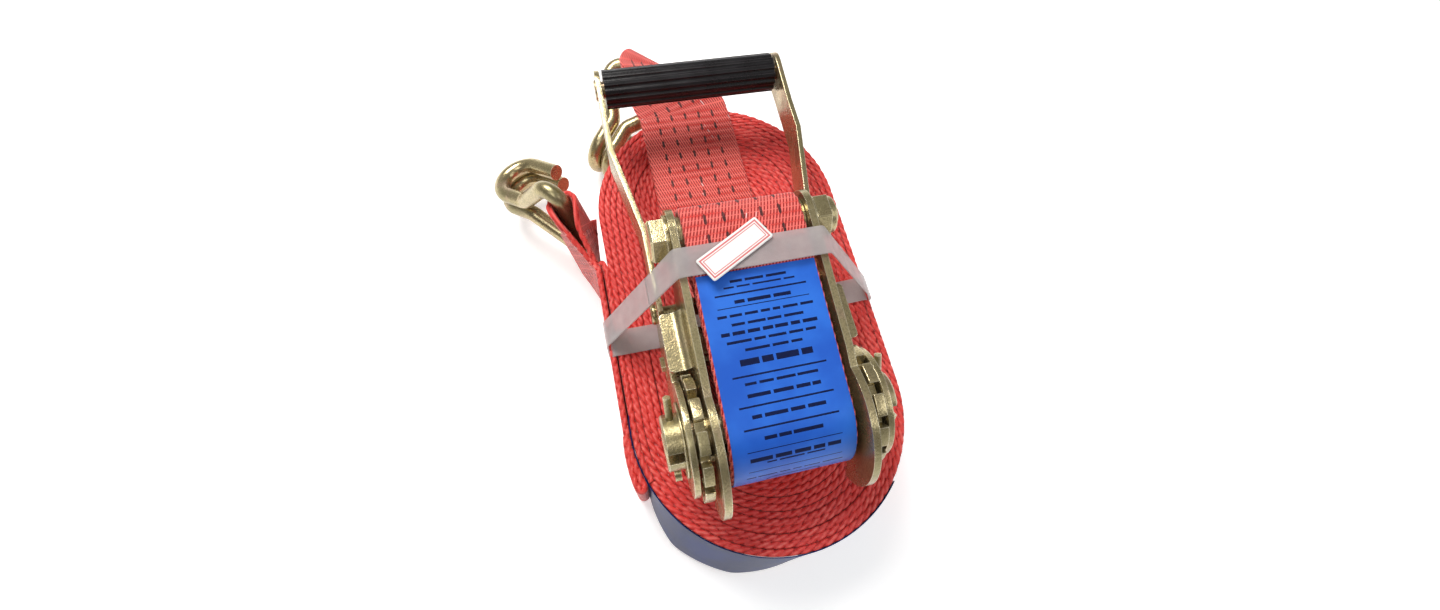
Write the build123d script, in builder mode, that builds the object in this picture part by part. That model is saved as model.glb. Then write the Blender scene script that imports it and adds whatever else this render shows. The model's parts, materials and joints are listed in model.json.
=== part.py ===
"""A 50 mm ratchet tie down, folded shut and strapped to its coil of spare webbing.

Frame: origin on the mandrel's axis, midway between the side plates. +X runs along the mandrel,
+Y from the mandrel to the hand grip, and +Z away from the coil that the ratchet lies on.
"""
from build123d import *
from math import asin, atan2, cos, degrees, hypot, radians, sin
import os

os.makedirs("parts", exist_ok=True)

# Webbing
STRAP_WIDTH = 50
STRAP_THICK = 3
WRAP_RADIUS = 19.5                      # middle of the webbing where it turns round the mandrel
LABEL_THICK = 0.4
STRAP_GAP = 0.4                         # clearance between webbing and the part it lies on

# Frame: two cam-shaped side plates joined at their free end by the anchor bolt
FRAME_INNER = 27                        # inner face of a side plate, from the middle
FRAME_THICK = 3
FRAME_OUTER = FRAME_INNER + FRAME_THICK
CAM_RADIUS = 28.3
CAM_CENTRE = (-4, -2)
BOLT_Y = 77.4
BOLT_Z = 19.2
BOLT_RADIUS = 5
BOLT_END_RADIUS = 12
EAR_Y = (24.5, 49)
EAR_Z = (8, 10.2)
EAR_REACH = 39.4
EAR_BEND = 4.5                          # outer radius of the bend between plate and ear
EAR_CORNER = 2
FRAME_SLOT_Y = (19.2, 47)

# Mandrel and ratchet wheels
MANDREL_RADIUS = 11
MANDREL_HALF_LENGTH = 46.5
MANDREL_SLOT = 4.4
MANDREL_TILT = 45                       # direction of the cotter pins, from +Y towards +Z
RUNNING = 0.05                          # radial clearance of a shaft in its hole
WHEEL_INNER = 31.5
WHEEL_THICK = 4
WHEEL_TIP_RADIUS = 24.8
WHEEL_ROOT_RADIUS = 19.3
TEETH = 12
NOTCH_WIDTH = 4.4

# Handle
HANDLE_INNER = 36.5
HANDLE_THICK = 2.5
HANDLE_FLARE = 7.4
HANDLE_END_RADIUS = 22.5
LOWER_KINK_Y = 90
UPPER_KINK_Y = 133.8
ARM_NEAR_Z = 6.3
ARM_FAR_Z = -12.5
GRIP_Y = 174
GRIP_Z = 0.5
GRIP_RADIUS = 9.2
GRIP_HALF_LENGTH = 42.6
GRIP_ROD_RADIUS = 4
GRIP_FLUTES = 14
FLUTE_RADIUS = 1.3
SPACER_ROD = (58, -12)                  # Y, Z of the rod that ties the handle plates together
SPACER_ROD_RADIUS = 3

# Pawls: both rest just clear of the wheels
PAWL_REACH = 36
PAWL_TIP_R = 25.2
PAWL_THICK = 3
PAWL_TIP_THICK = 2.2
HANDLE_PAWL_ANGLE = -30                 # a tooth notch faces this way at rest
BRIDGE_R = (38.6, 46.5)
LUG_REACH = 40.5
HANDLE_SLOT_R = (34.2, 49.4)

# Coil of spare webbing, wound on edge under the ratchet
COIL_X = 6.5
COIL_Y = 66.5
COIL_RADIUS = 63.5
COIL_HALF_STRAIGHT = 54.5
COIL_TOP = -34
COIL_BASE = -84
COIL_CORE = (8, 104)                    # slot left in the middle by the winding tool
TAIL_GAP = 0.3

# Double J hooks, bent from one wire
HOOK_WIRE_RADIUS = 4.3
HOOK_HALF_WIDTH = 28                    # half of the bar that the webbing's eye holds
HOOK_NECK = 33                          # where the two sides come together
HOOK_SHANK = 46                         # where the bends begin
HOOK_BEND = 12
HOOK_TIP = 16
HOOK_PAIR = 4.7
HOOK_CORNER = 7
HOOK_EYE_WIDTH = 31
HOOK_EYE_GAP = 1
HOOK_EYE_INSET = 0.4                    # the turn round the bar is a little narrower than the webbing
LONG_HOOK_PLANE = Plane((-69.5, 128, -42), x_dir=(0.24, -0.28, -0.93), z_dir=(0.69, 0.73, -0.04))
SHORT_HOOK_PLANE = Plane((-13.4, 218.6, -42.6), x_dir=(0.744, -0.668, -0.019), z_dir=(0.173, 0.221, -0.96))

# Shipping band
BAND_Y = (54, 66.5)
BAND_THICK = 0.7
BAND_TOP_Z = 31.2
BAND_CORNER_X = 30.5                    # where it turns down over the side plates

SIDES = ((-1, "left"), (1, "right"))


def save(part, name):
    """Writes one labelled piece to its own file."""
    part.label = name
    export_step(part, f"parts/{name}.step")


def side_plane(side, inner, thick):
    """Plane parallel to YZ from which a side plate grows by its thickness towards +X."""
    return Plane.YZ.offset(inner if side > 0 else -inner - thick)


# ---------------------------------------------------------------- frame plates
for side, hand in SIDES:
    plate_plane = side_plane(side, FRAME_INNER, FRAME_THICK)
    with BuildPart() as frame_plate:
        with BuildSketch(plate_plane):
            with Locations(CAM_CENTRE):
                Circle(CAM_RADIUS)
            with BuildLine():
                Polyline((0, 20), (18, 24.8), (74.6, 30.9), (80.4, 7.6), (54, -8), (10, -16), close=True)
            make_face()
            with Locations((BOLT_Y, BOLT_Z)):
                Circle(BOLT_END_RADIUS)
            # Lock notch on the far side of the cam
            with Locations(Location((0, 0), -128)):
                with Locations((33, 0)):
                    Rectangle(17, 17, mode=Mode.SUBTRACT)
            Circle(MANDREL_RADIUS + RUNNING, mode=Mode.SUBTRACT)
            with Locations((BOLT_Y, BOLT_Z)):
                Circle(BOLT_RADIUS + RUNNING, mode=Mode.SUBTRACT)
            with Locations(((FRAME_SLOT_Y[0] + FRAME_SLOT_Y[1]) / 2, 0)):
                Rectangle(FRAME_SLOT_Y[1] - FRAME_SLOT_Y[0], PAWL_THICK + 0.4, mode=Mode.SUBTRACT)
        extrude(amount=FRAME_THICK)
        # Outward-bent ear that guides the frame over the handle plate
        with BuildSketch(Plane.XY.offset(EAR_Z[0])):
            ear_middle = side * (FRAME_OUTER + EAR_REACH - EAR_CORNER) / 2
            with Locations((ear_middle, sum(EAR_Y) / 2)):
                RectangleRounded(EAR_REACH - FRAME_OUTER + EAR_CORNER, EAR_Y[1] - EAR_Y[0], EAR_CORNER)
        extrude(amount=EAR_Z[1] - EAR_Z[0])
        # Round bend of the ear, where it meets the plate
        with BuildSketch(Plane.XZ.offset(-EAR_Y[0])):
            with BuildLine():
                bend_foot = (side * (FRAME_OUTER + EAR_BEND), EAR_Z[1])
                bend_head = (side * FRAME_OUTER, EAR_Z[1] + EAR_BEND)
                bend_slack = EAR_BEND * (1 - cos(radians(45)))
                bend_middle = (side * (FRAME_OUTER + bend_slack), EAR_Z[1] + bend_slack)
                ThreePointArc(bend_foot, bend_middle, bend_head)
                bend_root = side * (FRAME_OUTER - 1)
                Polyline(bend_head, (bend_root, EAR_Z[1] + EAR_BEND), (bend_root, EAR_Z[0]),
                         (side * (FRAME_OUTER + EAR_BEND), EAR_Z[0]), bend_foot)
            make_face()
        extrude(amount=-(EAR_Y[1] - EAR_Y[0]))
    save(frame_plate.part, f"frame_plate_{hand}")

SPACER_Y = (52, 55)
SPACER_Z = (-6, 8)
DRAIN_HOLES = ((-12, 1), (12, 1))
DRAIN_RADIUS = 2
with BuildPart() as frame_spacer:
    with BuildSketch(Plane.XY.offset(SPACER_Z[0])):
        with Locations((0, sum(SPACER_Y) / 2)):
            Rectangle(2 * (FRAME_INNER - RUNNING), SPACER_Y[1] - SPACER_Y[0])
    extrude(amount=SPACER_Z[1] - SPACER_Z[0])
    with BuildSketch(Plane.XZ.offset(-SPACER_Y[1])):
        with Locations(*DRAIN_HOLES):
            Circle(DRAIN_RADIUS)
    extrude(amount=SPACER_Y[1] - SPACER_Y[0], mode=Mode.SUBTRACT)
save(frame_spacer.part, "frame_spacer")

# ---------------------------------------------------------------- anchor bolt
HEX_ACROSS_FLATS = 17
HEX_CORNER = HEX_ACROSS_FLATS / 2 / cos(radians(30))
WASHER_THICK = 1.5
HEAD_THICK = 6.4
NUT_THICK = 9.5
NUT_COLLAR = 3
THREAD_PROUD = 1.5
BOLT_WASHER_RADIUS = 10
FACE_X = FRAME_OUTER + WASHER_THICK     # where the head and the nut bear


def bolt_plane(x):
    """Plane across the anchor bolt at this X, centred on its axis."""
    return Plane((x, BOLT_Y, BOLT_Z), x_dir=(0, 1, 0), z_dir=(1, 0, 0))


with BuildPart() as anchor_bolt:
    with BuildSketch(bolt_plane(-FACE_X - HEAD_THICK)):
        RegularPolygon(HEX_CORNER, 6)
    extrude(amount=HEAD_THICK)
    chamfer(anchor_bolt.faces().sort_by(Axis.X)[0].edges(), 0.9)
    with BuildSketch(bolt_plane(-FACE_X)):
        Circle(BOLT_RADIUS)
    extrude(amount=2 * FACE_X + NUT_THICK + THREAD_PROUD)
    chamfer(anchor_bolt.faces().sort_by(Axis.X)[-1].edges(), 0.8)
save(anchor_bolt.part, "anchor_bolt")

with BuildPart() as lock_nut:
    with BuildSketch(bolt_plane(FACE_X)):
        RegularPolygon(HEX_CORNER, 6)
        Circle(BOLT_RADIUS + RUNNING, mode=Mode.SUBTRACT)
    extrude(amount=NUT_THICK - NUT_COLLAR)
    with BuildSketch(bolt_plane(FACE_X + NUT_THICK - NUT_COLLAR)):
        Circle(HEX_ACROSS_FLATS / 2 - 0.6)
        Circle(BOLT_RADIUS + RUNNING, mode=Mode.SUBTRACT)
    extrude(amount=NUT_COLLAR)
    fillet(lock_nut.faces().sort_by(Axis.X)[-1].outer_wire().edges(), 1.2)
save(lock_nut.part, "lock_nut")

with BuildPart() as bolt_washers:
    for start_x in (-FACE_X, FRAME_OUTER):
        with BuildSketch(bolt_plane(start_x)):
            Circle(BOLT_WASHER_RADIUS)
            Circle(BOLT_RADIUS + RUNNING, mode=Mode.SUBTRACT)
        extrude(amount=WASHER_THICK)
save(bolt_washers.part, "bolt_washers")

SLEEVE_RADIUS = 8.5
with BuildPart() as bolt_sleeve:
    with BuildSketch(bolt_plane(-FRAME_INNER + 0.1)):
        Circle(SLEEVE_RADIUS)
        Circle(BOLT_RADIUS + RUNNING, mode=Mode.SUBTRACT)
    extrude(amount=2 * FRAME_INNER - 0.2)
save(bolt_sleeve.part, "bolt_sleeve")

# ---------------------------------------------------------------- mandrel
pin_direction = (0, cos(radians(MANDREL_TILT)), sin(radians(MANDREL_TILT)))
COTTER_X = 42.8
COTTER_RADIUS = 1.5
COTTER_HOLE_PLAY = 0.1
COTTER_LEGS = 9.5                       # how far the legs stand out of the mandrel
COTTER_NECK = 2
COTTER_EYE_RADIUS = 3.4
COTTER_EYE_HOLE = 1.2
COTTER_EYE_THICK = 2.6


def mandrel_plane(x):
    """Plane across the mandrel at this X, its local x along the cotter pins."""
    return Plane((x, 0, 0), x_dir=pin_direction, z_dir=(1, 0, 0))


for sign, half_name in ((1, "mandrel_half_upper"), (-1, "mandrel_half_lower")):
    with BuildPart() as mandrel_half:
        with BuildSketch(mandrel_plane(-MANDREL_HALF_LENGTH)):
            Circle(MANDREL_RADIUS)
            with Locations((-sign * (MANDREL_RADIUS - MANDREL_SLOT / 2), 0)):
                Rectangle(2 * MANDREL_RADIUS, 2 * MANDREL_RADIUS, mode=Mode.SUBTRACT)
        extrude(amount=2 * MANDREL_HALF_LENGTH)
        ends = mandrel_half.faces().filter_by(Axis.X)
        chamfer(ends.edges(), 0.6)
        for pin_x in (-COTTER_X, COTTER_X):
            with BuildSketch(Plane((pin_x, 0, 0), x_dir=(1, 0, 0), z_dir=pin_direction)):
                Circle(COTTER_RADIUS + COTTER_HOLE_PLAY)
            extrude(amount=MANDREL_RADIUS + 1, both=True, mode=Mode.SUBTRACT)
    save(mandrel_half.part, half_name)

for side, hand in SIDES:
    with BuildPart() as ratchet_wheel:
        wheel_x = WHEEL_INNER if side > 0 else -WHEEL_INNER - WHEEL_THICK
        with BuildSketch(Plane.YZ.offset(wheel_x)):
            Circle(WHEEL_TIP_RADIUS)
            with PolarLocations(WHEEL_TIP_RADIUS, TEETH):
                Rectangle(2 * (WHEEL_TIP_RADIUS - WHEEL_ROOT_RADIUS), NOTCH_WIDTH, mode=Mode.SUBTRACT)
        extrude(amount=WHEEL_THICK)
        # Two half-round holes leave the bar that drives both halves of the mandrel
        with BuildSketch(mandrel_plane(wheel_x)):
            for sign in (1, -1):
                with BuildLine():
                    chord = MANDREL_SLOT / 2 - RUNNING
                    hole = MANDREL_RADIUS + RUNNING
                    reach = (hole ** 2 - chord ** 2) ** 0.5
                    Line((sign * chord, -reach), (sign * chord, reach))
                    ThreePointArc((sign * chord, reach), (sign * hole, 0), (sign * chord, -reach))
                make_face()
        extrude(amount=WHEEL_THICK, mode=Mode.SUBTRACT)
    save(ratchet_wheel.part, f"ratchet_wheel_{hand}")

END_WASHER_X = HANDLE_INNER + HANDLE_THICK + 0.1
END_WASHER_THICK = 0.9
END_WASHER_RADIUS = 15
with BuildPart() as mandrel_washers:
    for start_x in (END_WASHER_X, -END_WASHER_X - END_WASHER_THICK):
        with BuildSketch(Plane.YZ.offset(start_x)):
            Circle(END_WASHER_RADIUS)
            Circle(MANDREL_RADIUS + RUNNING, mode=Mode.SUBTRACT)
        extrude(amount=END_WASHER_THICK)
save(mandrel_washers.part, "mandrel_washers")

# Split pins: a round shank through both halves, an eye at one end, two spread legs at the other
with BuildPart() as cotter_pins:
    for pin_x in (-COTTER_X, COTTER_X):
        pin_plane = Plane((pin_x, 0, 0), x_dir=(1, 0, 0), z_dir=pin_direction)
        with BuildSketch(pin_plane.offset(-MANDREL_RADIUS - COTTER_NECK)):
            Circle(COTTER_RADIUS)
        extrude(amount=2 * MANDREL_RADIUS + COTTER_NECK + COTTER_LEGS)
        eye_centre = pin_plane.offset(-MANDREL_RADIUS - 2 * COTTER_NECK).origin
        eye_plate = Plane(eye_centre, x_dir=pin_direction, z_dir=(1, 0, 0))
        with BuildSketch(eye_plate.offset(-COTTER_EYE_THICK / 2)):
            Circle(COTTER_EYE_RADIUS)
            Circle(COTTER_EYE_HOLE, mode=Mode.SUBTRACT)
        extrude(amount=COTTER_EYE_THICK)
save(cotter_pins.part, "cotter_pins")

# ---------------------------------------------------------------- handle
SHEET_REACH = 40                        # more than half the height of a handle plate
for side, hand in SIDES:
    with BuildPart() as handle_plate:
        # The bent sheet, seen from above
        with BuildSketch(Plane.XY.offset(-SHEET_REACH)):
            with BuildLine():
                inner = [(HANDLE_INNER, -30), (HANDLE_INNER, LOWER_KINK_Y),
                         (HANDLE_INNER + HANDLE_FLARE, UPPER_KINK_Y),
                         (HANDLE_INNER + HANDLE_FLARE, GRIP_Y + 20)]
                outer = [(x + HANDLE_THICK, y) for x, y in reversed(inner)]
                Polyline(*[(side * x, y) for x, y in inner + outer], close=True)
            make_face()
        extrude(amount=2 * SHEET_REACH)
        # The sheet's outline, seen from the side
        with BuildSketch(Plane.YZ):
            Circle(HANDLE_END_RADIUS)
            with BuildLine():
                Polyline((-6, -21), (18, -29), (44, -29), (61, ARM_FAR_Z), (GRIP_Y, GRIP_Z - GRIP_RADIUS),
                         (GRIP_Y, GRIP_Z + GRIP_RADIUS), (150, ARM_NEAR_Z + 1), (52, ARM_NEAR_Z),
                         (50, 3.2), (20, 3.2), (0, 0), close=True)
            make_face()
            with Locations((GRIP_Y, GRIP_Z)):
                Circle(GRIP_RADIUS)
        extrude(amount=2 * SHEET_REACH, both=True, mode=Mode.INTERSECT)
        with BuildSketch(Plane.YZ):
            Circle(MANDREL_RADIUS + RUNNING)
            with Locations((GRIP_Y, GRIP_Z)):
                Circle(GRIP_ROD_RADIUS + RUNNING)
            with Locations(SPACER_ROD):
                Circle(SPACER_ROD_RADIUS + RUNNING)
            with Locations(Location((0, 0), HANDLE_PAWL_ANGLE)):
                with Locations((sum(HANDLE_SLOT_R) / 2, 0)):
                    Rectangle(HANDLE_SLOT_R[1] - HANDLE_SLOT_R[0], PAWL_THICK + 0.4)
        extrude(amount=2 * SHEET_REACH, both=True, mode=Mode.SUBTRACT)
    save(handle_plate.part, f"handle_plate_{hand}")

with BuildPart() as handle_grip:
    with BuildSketch(Plane((-GRIP_HALF_LENGTH, GRIP_Y, GRIP_Z), x_dir=(0, 1, 0), z_dir=(1, 0, 0))):
        Circle(GRIP_RADIUS)
        with PolarLocations(GRIP_RADIUS + 0.5, GRIP_FLUTES):
            Circle(FLUTE_RADIUS, mode=Mode.SUBTRACT)
        Circle(GRIP_ROD_RADIUS + RUNNING, mode=Mode.SUBTRACT)
    extrude(amount=2 * GRIP_HALF_LENGTH)
save(handle_grip.part, "handle_grip")

ROD_HEAD_THICK = 2
GRIP_ROD_HEAD = 5
GRIP_HEAD_THICK = 0.8
SPACER_ROD_HEAD = 4.6
with BuildPart() as grip_rod:
    rod_end = HANDLE_INNER + HANDLE_FLARE + HANDLE_THICK
    with BuildSketch(Plane((-rod_end, GRIP_Y, GRIP_Z), x_dir=(0, 1, 0), z_dir=(1, 0, 0))):
        Circle(GRIP_ROD_RADIUS)
    extrude(amount=2 * rod_end)
    for head_x in (-rod_end - GRIP_HEAD_THICK, rod_end):
        with BuildSketch(Plane((head_x, GRIP_Y, GRIP_Z), x_dir=(0, 1, 0), z_dir=(1, 0, 0))):
            Circle(GRIP_ROD_HEAD)
        extrude(amount=GRIP_HEAD_THICK)
    rims = grip_rod.edges().filter_by(GeomType.CIRCLE).group_by(Axis.X)
    fillet(rims[0] + rims[-1], 0.5)
save(grip_rod.part, "grip_rod")

with BuildPart() as handle_spacer_rod:
    rod_end = HANDLE_INNER + HANDLE_THICK
    with BuildSketch(Plane((-rod_end, *SPACER_ROD), x_dir=(0, 1, 0), z_dir=(1, 0, 0))):
        Circle(SPACER_ROD_RADIUS)
    extrude(amount=2 * rod_end)
    for head_x in (-rod_end - ROD_HEAD_THICK, rod_end):
        with BuildSketch(Plane((head_x, *SPACER_ROD), x_dir=(0, 1, 0), z_dir=(1, 0, 0))):
            Circle(SPACER_ROD_HEAD)
        extrude(amount=ROD_HEAD_THICK)
    rims = handle_spacer_rod.edges().filter_by(GeomType.CIRCLE).group_by(Axis.X)
    fillet(rims[0] + rims[-1], 1.2)
save(handle_spacer_rod.part, "handle_spacer_rod")

# ---------------------------------------------------------------- pawls and springs
FRAME_PAWL_Y = (28, 44)
FRAME_PAWL_RELIEF = 8                   # a shallow recess between its two arms
TIP_ROOT_Y = 33
SPRING_GUIDE_RADIUS = 2
SPRING_GUIDE_LENGTH = 4
with BuildPart() as frame_pawl:
    with BuildSketch(Plane.XY.offset(-PAWL_THICK / 2)):
        with Locations((0, sum(FRAME_PAWL_Y) / 2)):
            Rectangle(2 * PAWL_REACH, FRAME_PAWL_Y[1] - FRAME_PAWL_Y[0])
        with Locations((0, FRAME_PAWL_Y[0])):
            Rectangle(2 * FRAME_INNER - 6, FRAME_PAWL_RELIEF, mode=Mode.SUBTRACT)
    extrude(amount=PAWL_THICK)
    # Tips that enter the wheels' notches
    with BuildSketch(Plane.XY.offset(-PAWL_TIP_THICK / 2)):
        for side in (-1, 1):
            with Locations((side * (WHEEL_INNER + PAWL_REACH) / 2, (PAWL_TIP_R + TIP_ROOT_Y) / 2)):
                Rectangle(PAWL_REACH - WHEEL_INNER + 0.6, TIP_ROOT_Y - PAWL_TIP_R)
    extrude(amount=PAWL_TIP_THICK)
    with BuildSketch(Plane.XZ.offset(-FRAME_PAWL_Y[1])):
        Circle(SPRING_GUIDE_RADIUS)
    extrude(amount=-SPRING_GUIDE_LENGTH)
save(frame_pawl.part, "frame_pawl")

handle_pawl_line = Plane((0, 0, 0), x_dir=(1, 0, 0),
                         z_dir=(0, -sin(radians(HANDLE_PAWL_ANGLE)), cos(radians(HANDLE_PAWL_ANGLE))))
TONGUE_HALF_WIDTH = 15
SPRING_STOP_Y = 43.5
SPRING_STOP_THICK = 2
SPRING_STOP_WIDTH = 7
LUG_SETBACK = 1.4                       # the lugs are this much narrower than the bridge
with BuildPart() as handle_pawl:
    with BuildSketch(handle_pawl_line.offset(-PAWL_THICK / 2)):
        with Locations((0, sum(BRIDGE_R) / 2)):
            Rectangle(2 * PAWL_REACH, BRIDGE_R[1] - BRIDGE_R[0])
        with Locations((0, (BRIDGE_R[0] + LUG_SETBACK + BRIDGE_R[1]) / 2)):
            Rectangle(2 * LUG_REACH, BRIDGE_R[1] - BRIDGE_R[0] - LUG_SETBACK)
    extrude(amount=PAWL_THICK)
    with BuildSketch(handle_pawl_line.offset(-PAWL_TIP_THICK / 2)):
        for side in (-1, 1):
            with Locations((side * (WHEEL_INNER + PAWL_REACH) / 2, (PAWL_TIP_R + BRIDGE_R[0] + 1) / 2)):
                Rectangle(PAWL_REACH - WHEEL_INNER, BRIDGE_R[0] + 1 - PAWL_TIP_R)
    extrude(amount=PAWL_TIP_THICK)
    # Finger tongue, bent parallel to the handle, with an upturned lip and a spring stop
    bend_y = BRIDGE_R[1] * cos(radians(HANDLE_PAWL_ANGLE))
    bend_z = BRIDGE_R[1] * sin(radians(HANDLE_PAWL_ANGLE))
    with BuildSketch(Plane.YZ.offset(-TONGUE_HALF_WIDTH)):
        with BuildLine():
            Polyline((bend_y - 3, bend_z + 0.2), (bend_y, bend_z + 1.2), (70, bend_z + 1.2), (72, -16),
                     (74, -16), (72, bend_z - 1), (bend_y - 1, bend_z - 1), close=True)
        make_face()
    extrude(amount=2 * TONGUE_HALF_WIDTH)
    with BuildSketch(Plane.YZ.offset(-SPRING_STOP_WIDTH / 2)):
        with Locations((SPRING_STOP_Y, -16.5)):
            Rectangle(SPRING_STOP_THICK, 12)
    extrude(amount=SPRING_STOP_WIDTH)
save(handle_pawl.part, "handle_pawl")


SPRING_WIRE = 0.5
SPRING_GAP = 0.7                        # from the spring's end turns to the faces it bears on
SPRING_TURNS = 5
stop_face = SPRING_STOP_Y + SPRING_STOP_THICK / 2
rod_face = SPACER_ROD[0] - SPACER_ROD_RADIUS
springs = (("frame_pawl_spring", 3.4, FRAME_PAWL_Y[1], SPACER_Y[0], 0),
           ("handle_pawl_spring", 3, stop_face, rod_face, -15))
for name, radius, first_y, last_y, spring_z in springs:
    length = last_y - first_y - 2 * SPRING_GAP
    with BuildPart() as pawl_spring:
        with BuildLine() as helix_line:
            Helix(length / SPRING_TURNS, length, radius, center=(0, first_y + SPRING_GAP, spring_z),
                  direction=(0, 1, 0))
        with BuildSketch(Plane(helix_line.line @ 0, z_dir=helix_line.line % 0)):
            Circle(SPRING_WIRE)
        sweep()
    save(pawl_spring.part, name)

# ---------------------------------------------------------------- webbing between bolt and hook
EYE_RADIUS = SLEEVE_RADIUS + STRAP_GAP + STRAP_THICK / 2
HOOK_EYE_RADIUS = HOOK_WIRE_RADIUS + HOOK_EYE_GAP + STRAP_THICK / 2
LEG_DROP_ANGLE = 20                     # how steeply the lower run falls from the mandrel to the coil
LEG_GAP = 0.7                           # between the lower run and the coil
LEG_Z = COIL_TOP + LEG_GAP + STRAP_THICK / 2
LEG_END_Y = 182
centre_distance = hypot(BOLT_Y, BOLT_Z)
top_angle = degrees(atan2(BOLT_Z, BOLT_Y)) + degrees(asin((EYE_RADIUS - WRAP_RADIUS) / centre_distance))
WRAP_START = 90 + top_angle
WRAP_END = 270 - LEG_DROP_ANGLE


def polar(radius, angle, centre=(0, 0)):
    """Point at this radius and angle (degrees) from a centre."""
    return (centre[0] + radius * cos(radians(angle)), centre[1] + radius * sin(radians(angle)))


def leg_corner(shift):
    """Where the falling run meets the coil, for a line shifted outwards from the webbing's middle."""
    z = LEG_Z - shift
    y = (WRAP_RADIUS + shift - z * sin(radians(WRAP_END))) / cos(radians(WRAP_END))
    return (y, z)


def eye_plane(hook_plane, webbing_from):
    """Plane across the webbing where it reaches the hook's eye, its local x along the bar."""
    bar = hook_plane.x_dir
    back = Vector(*webbing_from) - hook_plane.origin
    back = (back - bar * back.dot(bar)).normalized()
    return Plane(hook_plane.origin + back * HOOK_EYE_RADIUS, x_dir=bar, z_dir=-back)


bolt_centre = (BOLT_Y, BOLT_Z)
half = STRAP_THICK / 2
with BuildPart() as short_strap:
    with BuildSketch(Plane.YZ.offset(-STRAP_WIDTH / 2)):
        with BuildLine():
            outer_arc = [polar(WRAP_RADIUS + half, a) for a in (WRAP_START, 180, WRAP_END)]
            inner_arc = [polar(WRAP_RADIUS - half, a) for a in (WRAP_END, 180, WRAP_START)]
            bolt_outer = polar(EYE_RADIUS + half, WRAP_START, bolt_centre)
            bolt_inner = polar(EYE_RADIUS - half, WRAP_START, bolt_centre)
            Line(bolt_outer, outer_arc[0])
            ThreePointArc(*outer_arc)
            Polyline(outer_arc[2], leg_corner(half), (LEG_END_Y, LEG_Z - half), (LEG_END_Y, LEG_Z + half),
                     leg_corner(-half), inner_arc[0])
            ThreePointArc(*inner_arc)
            Polyline(inner_arc[2], bolt_inner, bolt_outer)
        make_face()
        with Locations(bolt_centre):
            Circle(EYE_RADIUS + half)
            Circle(EYE_RADIUS - half, mode=Mode.SUBTRACT)
    extrude(amount=STRAP_WIDTH)
    # Beyond the coil the webbing narrows and turns to meet the hook's bar
    with BuildSketch(Plane((0, LEG_END_Y, LEG_Z), x_dir=(1, 0, 0), z_dir=(0, 1, 0))):
        Rectangle(STRAP_WIDTH, STRAP_THICK)
    with BuildSketch(eye_plane(SHORT_HOOK_PLANE, (0, LEG_END_Y, LEG_Z))):
        Rectangle(HOOK_EYE_WIDTH, STRAP_THICK)
    loft()
    bar_line = Plane(SHORT_HOOK_PLANE.origin, z_dir=SHORT_HOOK_PLANE.x_dir)
    with BuildSketch(bar_line):
        Circle(HOOK_EYE_RADIUS + half)
    extrude(amount=HOOK_EYE_WIDTH / 2 - HOOK_EYE_INSET, both=True)
    with BuildSketch(bar_line):
        Circle(HOOK_EYE_RADIUS - half)
    extrude(amount=HOOK_EYE_WIDTH, both=True, mode=Mode.SUBTRACT)
save(short_strap.part, "short_strap")

LABEL_END_ANGLE = 215
LABEL_TOP_Y = 60
with BuildPart() as strap_label:
    with BuildSketch(Plane.YZ.offset(-STRAP_WIDTH / 2 + 1)):
        with BuildLine():
            near = WRAP_RADIUS + half + 0.1
            far = near + LABEL_THICK
            mid_angle = (WRAP_START + LABEL_END_ANGLE) / 2
            along = (cos(radians(top_angle)), sin(radians(top_angle)))
            near_start = polar(near, WRAP_START)
            far_start = polar(far, WRAP_START)
            run = LABEL_TOP_Y / along[0]
            Line((far_start[0] + along[0] * run, far_start[1] + along[1] * run), far_start)
            ThreePointArc(far_start, polar(far, mid_angle), polar(far, LABEL_END_ANGLE))
            Line(polar(far, LABEL_END_ANGLE), polar(near, LABEL_END_ANGLE))
            ThreePointArc(polar(near, LABEL_END_ANGLE), polar(near, mid_angle), near_start)
            Polyline(near_start, (near_start[0] + along[0] * run, near_start[1] + along[1] * run),
                     (far_start[0] + along[0] * run, far_start[1] + along[1] * run))
        make_face()
    extrude(amount=STRAP_WIDTH - 2)
save(strap_label.part, "strap_label")

# ---------------------------------------------------------------- hooks
for name, hook_plane in (("long_strap_hook", LONG_HOOK_PLANE), ("short_strap_hook", SHORT_HOOK_PLANE)):
    with BuildPart() as hook:
        with BuildLine(hook_plane) as wire_line:
            FilletPolyline((HOOK_PAIR, HOOK_SHANK), (HOOK_PAIR, HOOK_NECK), (HOOK_HALF_WIDTH, 0),
                           (-HOOK_HALF_WIDTH, 0), (-HOOK_PAIR, HOOK_NECK), (-HOOK_PAIR, HOOK_SHANK),
                           radius=HOOK_CORNER)
            for x in (-HOOK_PAIR, HOOK_PAIR):
                ThreePointArc((x, HOOK_SHANK, 0), (x, HOOK_SHANK + HOOK_BEND, HOOK_BEND),
                              (x, HOOK_SHANK, 2 * HOOK_BEND))
                Line((x, HOOK_SHANK, 2 * HOOK_BEND), (x, HOOK_SHANK - HOOK_TIP, 2 * HOOK_BEND))
        start = wire_line.wire()
        with BuildSketch(Plane(start @ 0, z_dir=start % 0)):
            Circle(HOOK_WIRE_RADIUS)
        sweep(path=start)
    save(hook.part, name)

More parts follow.
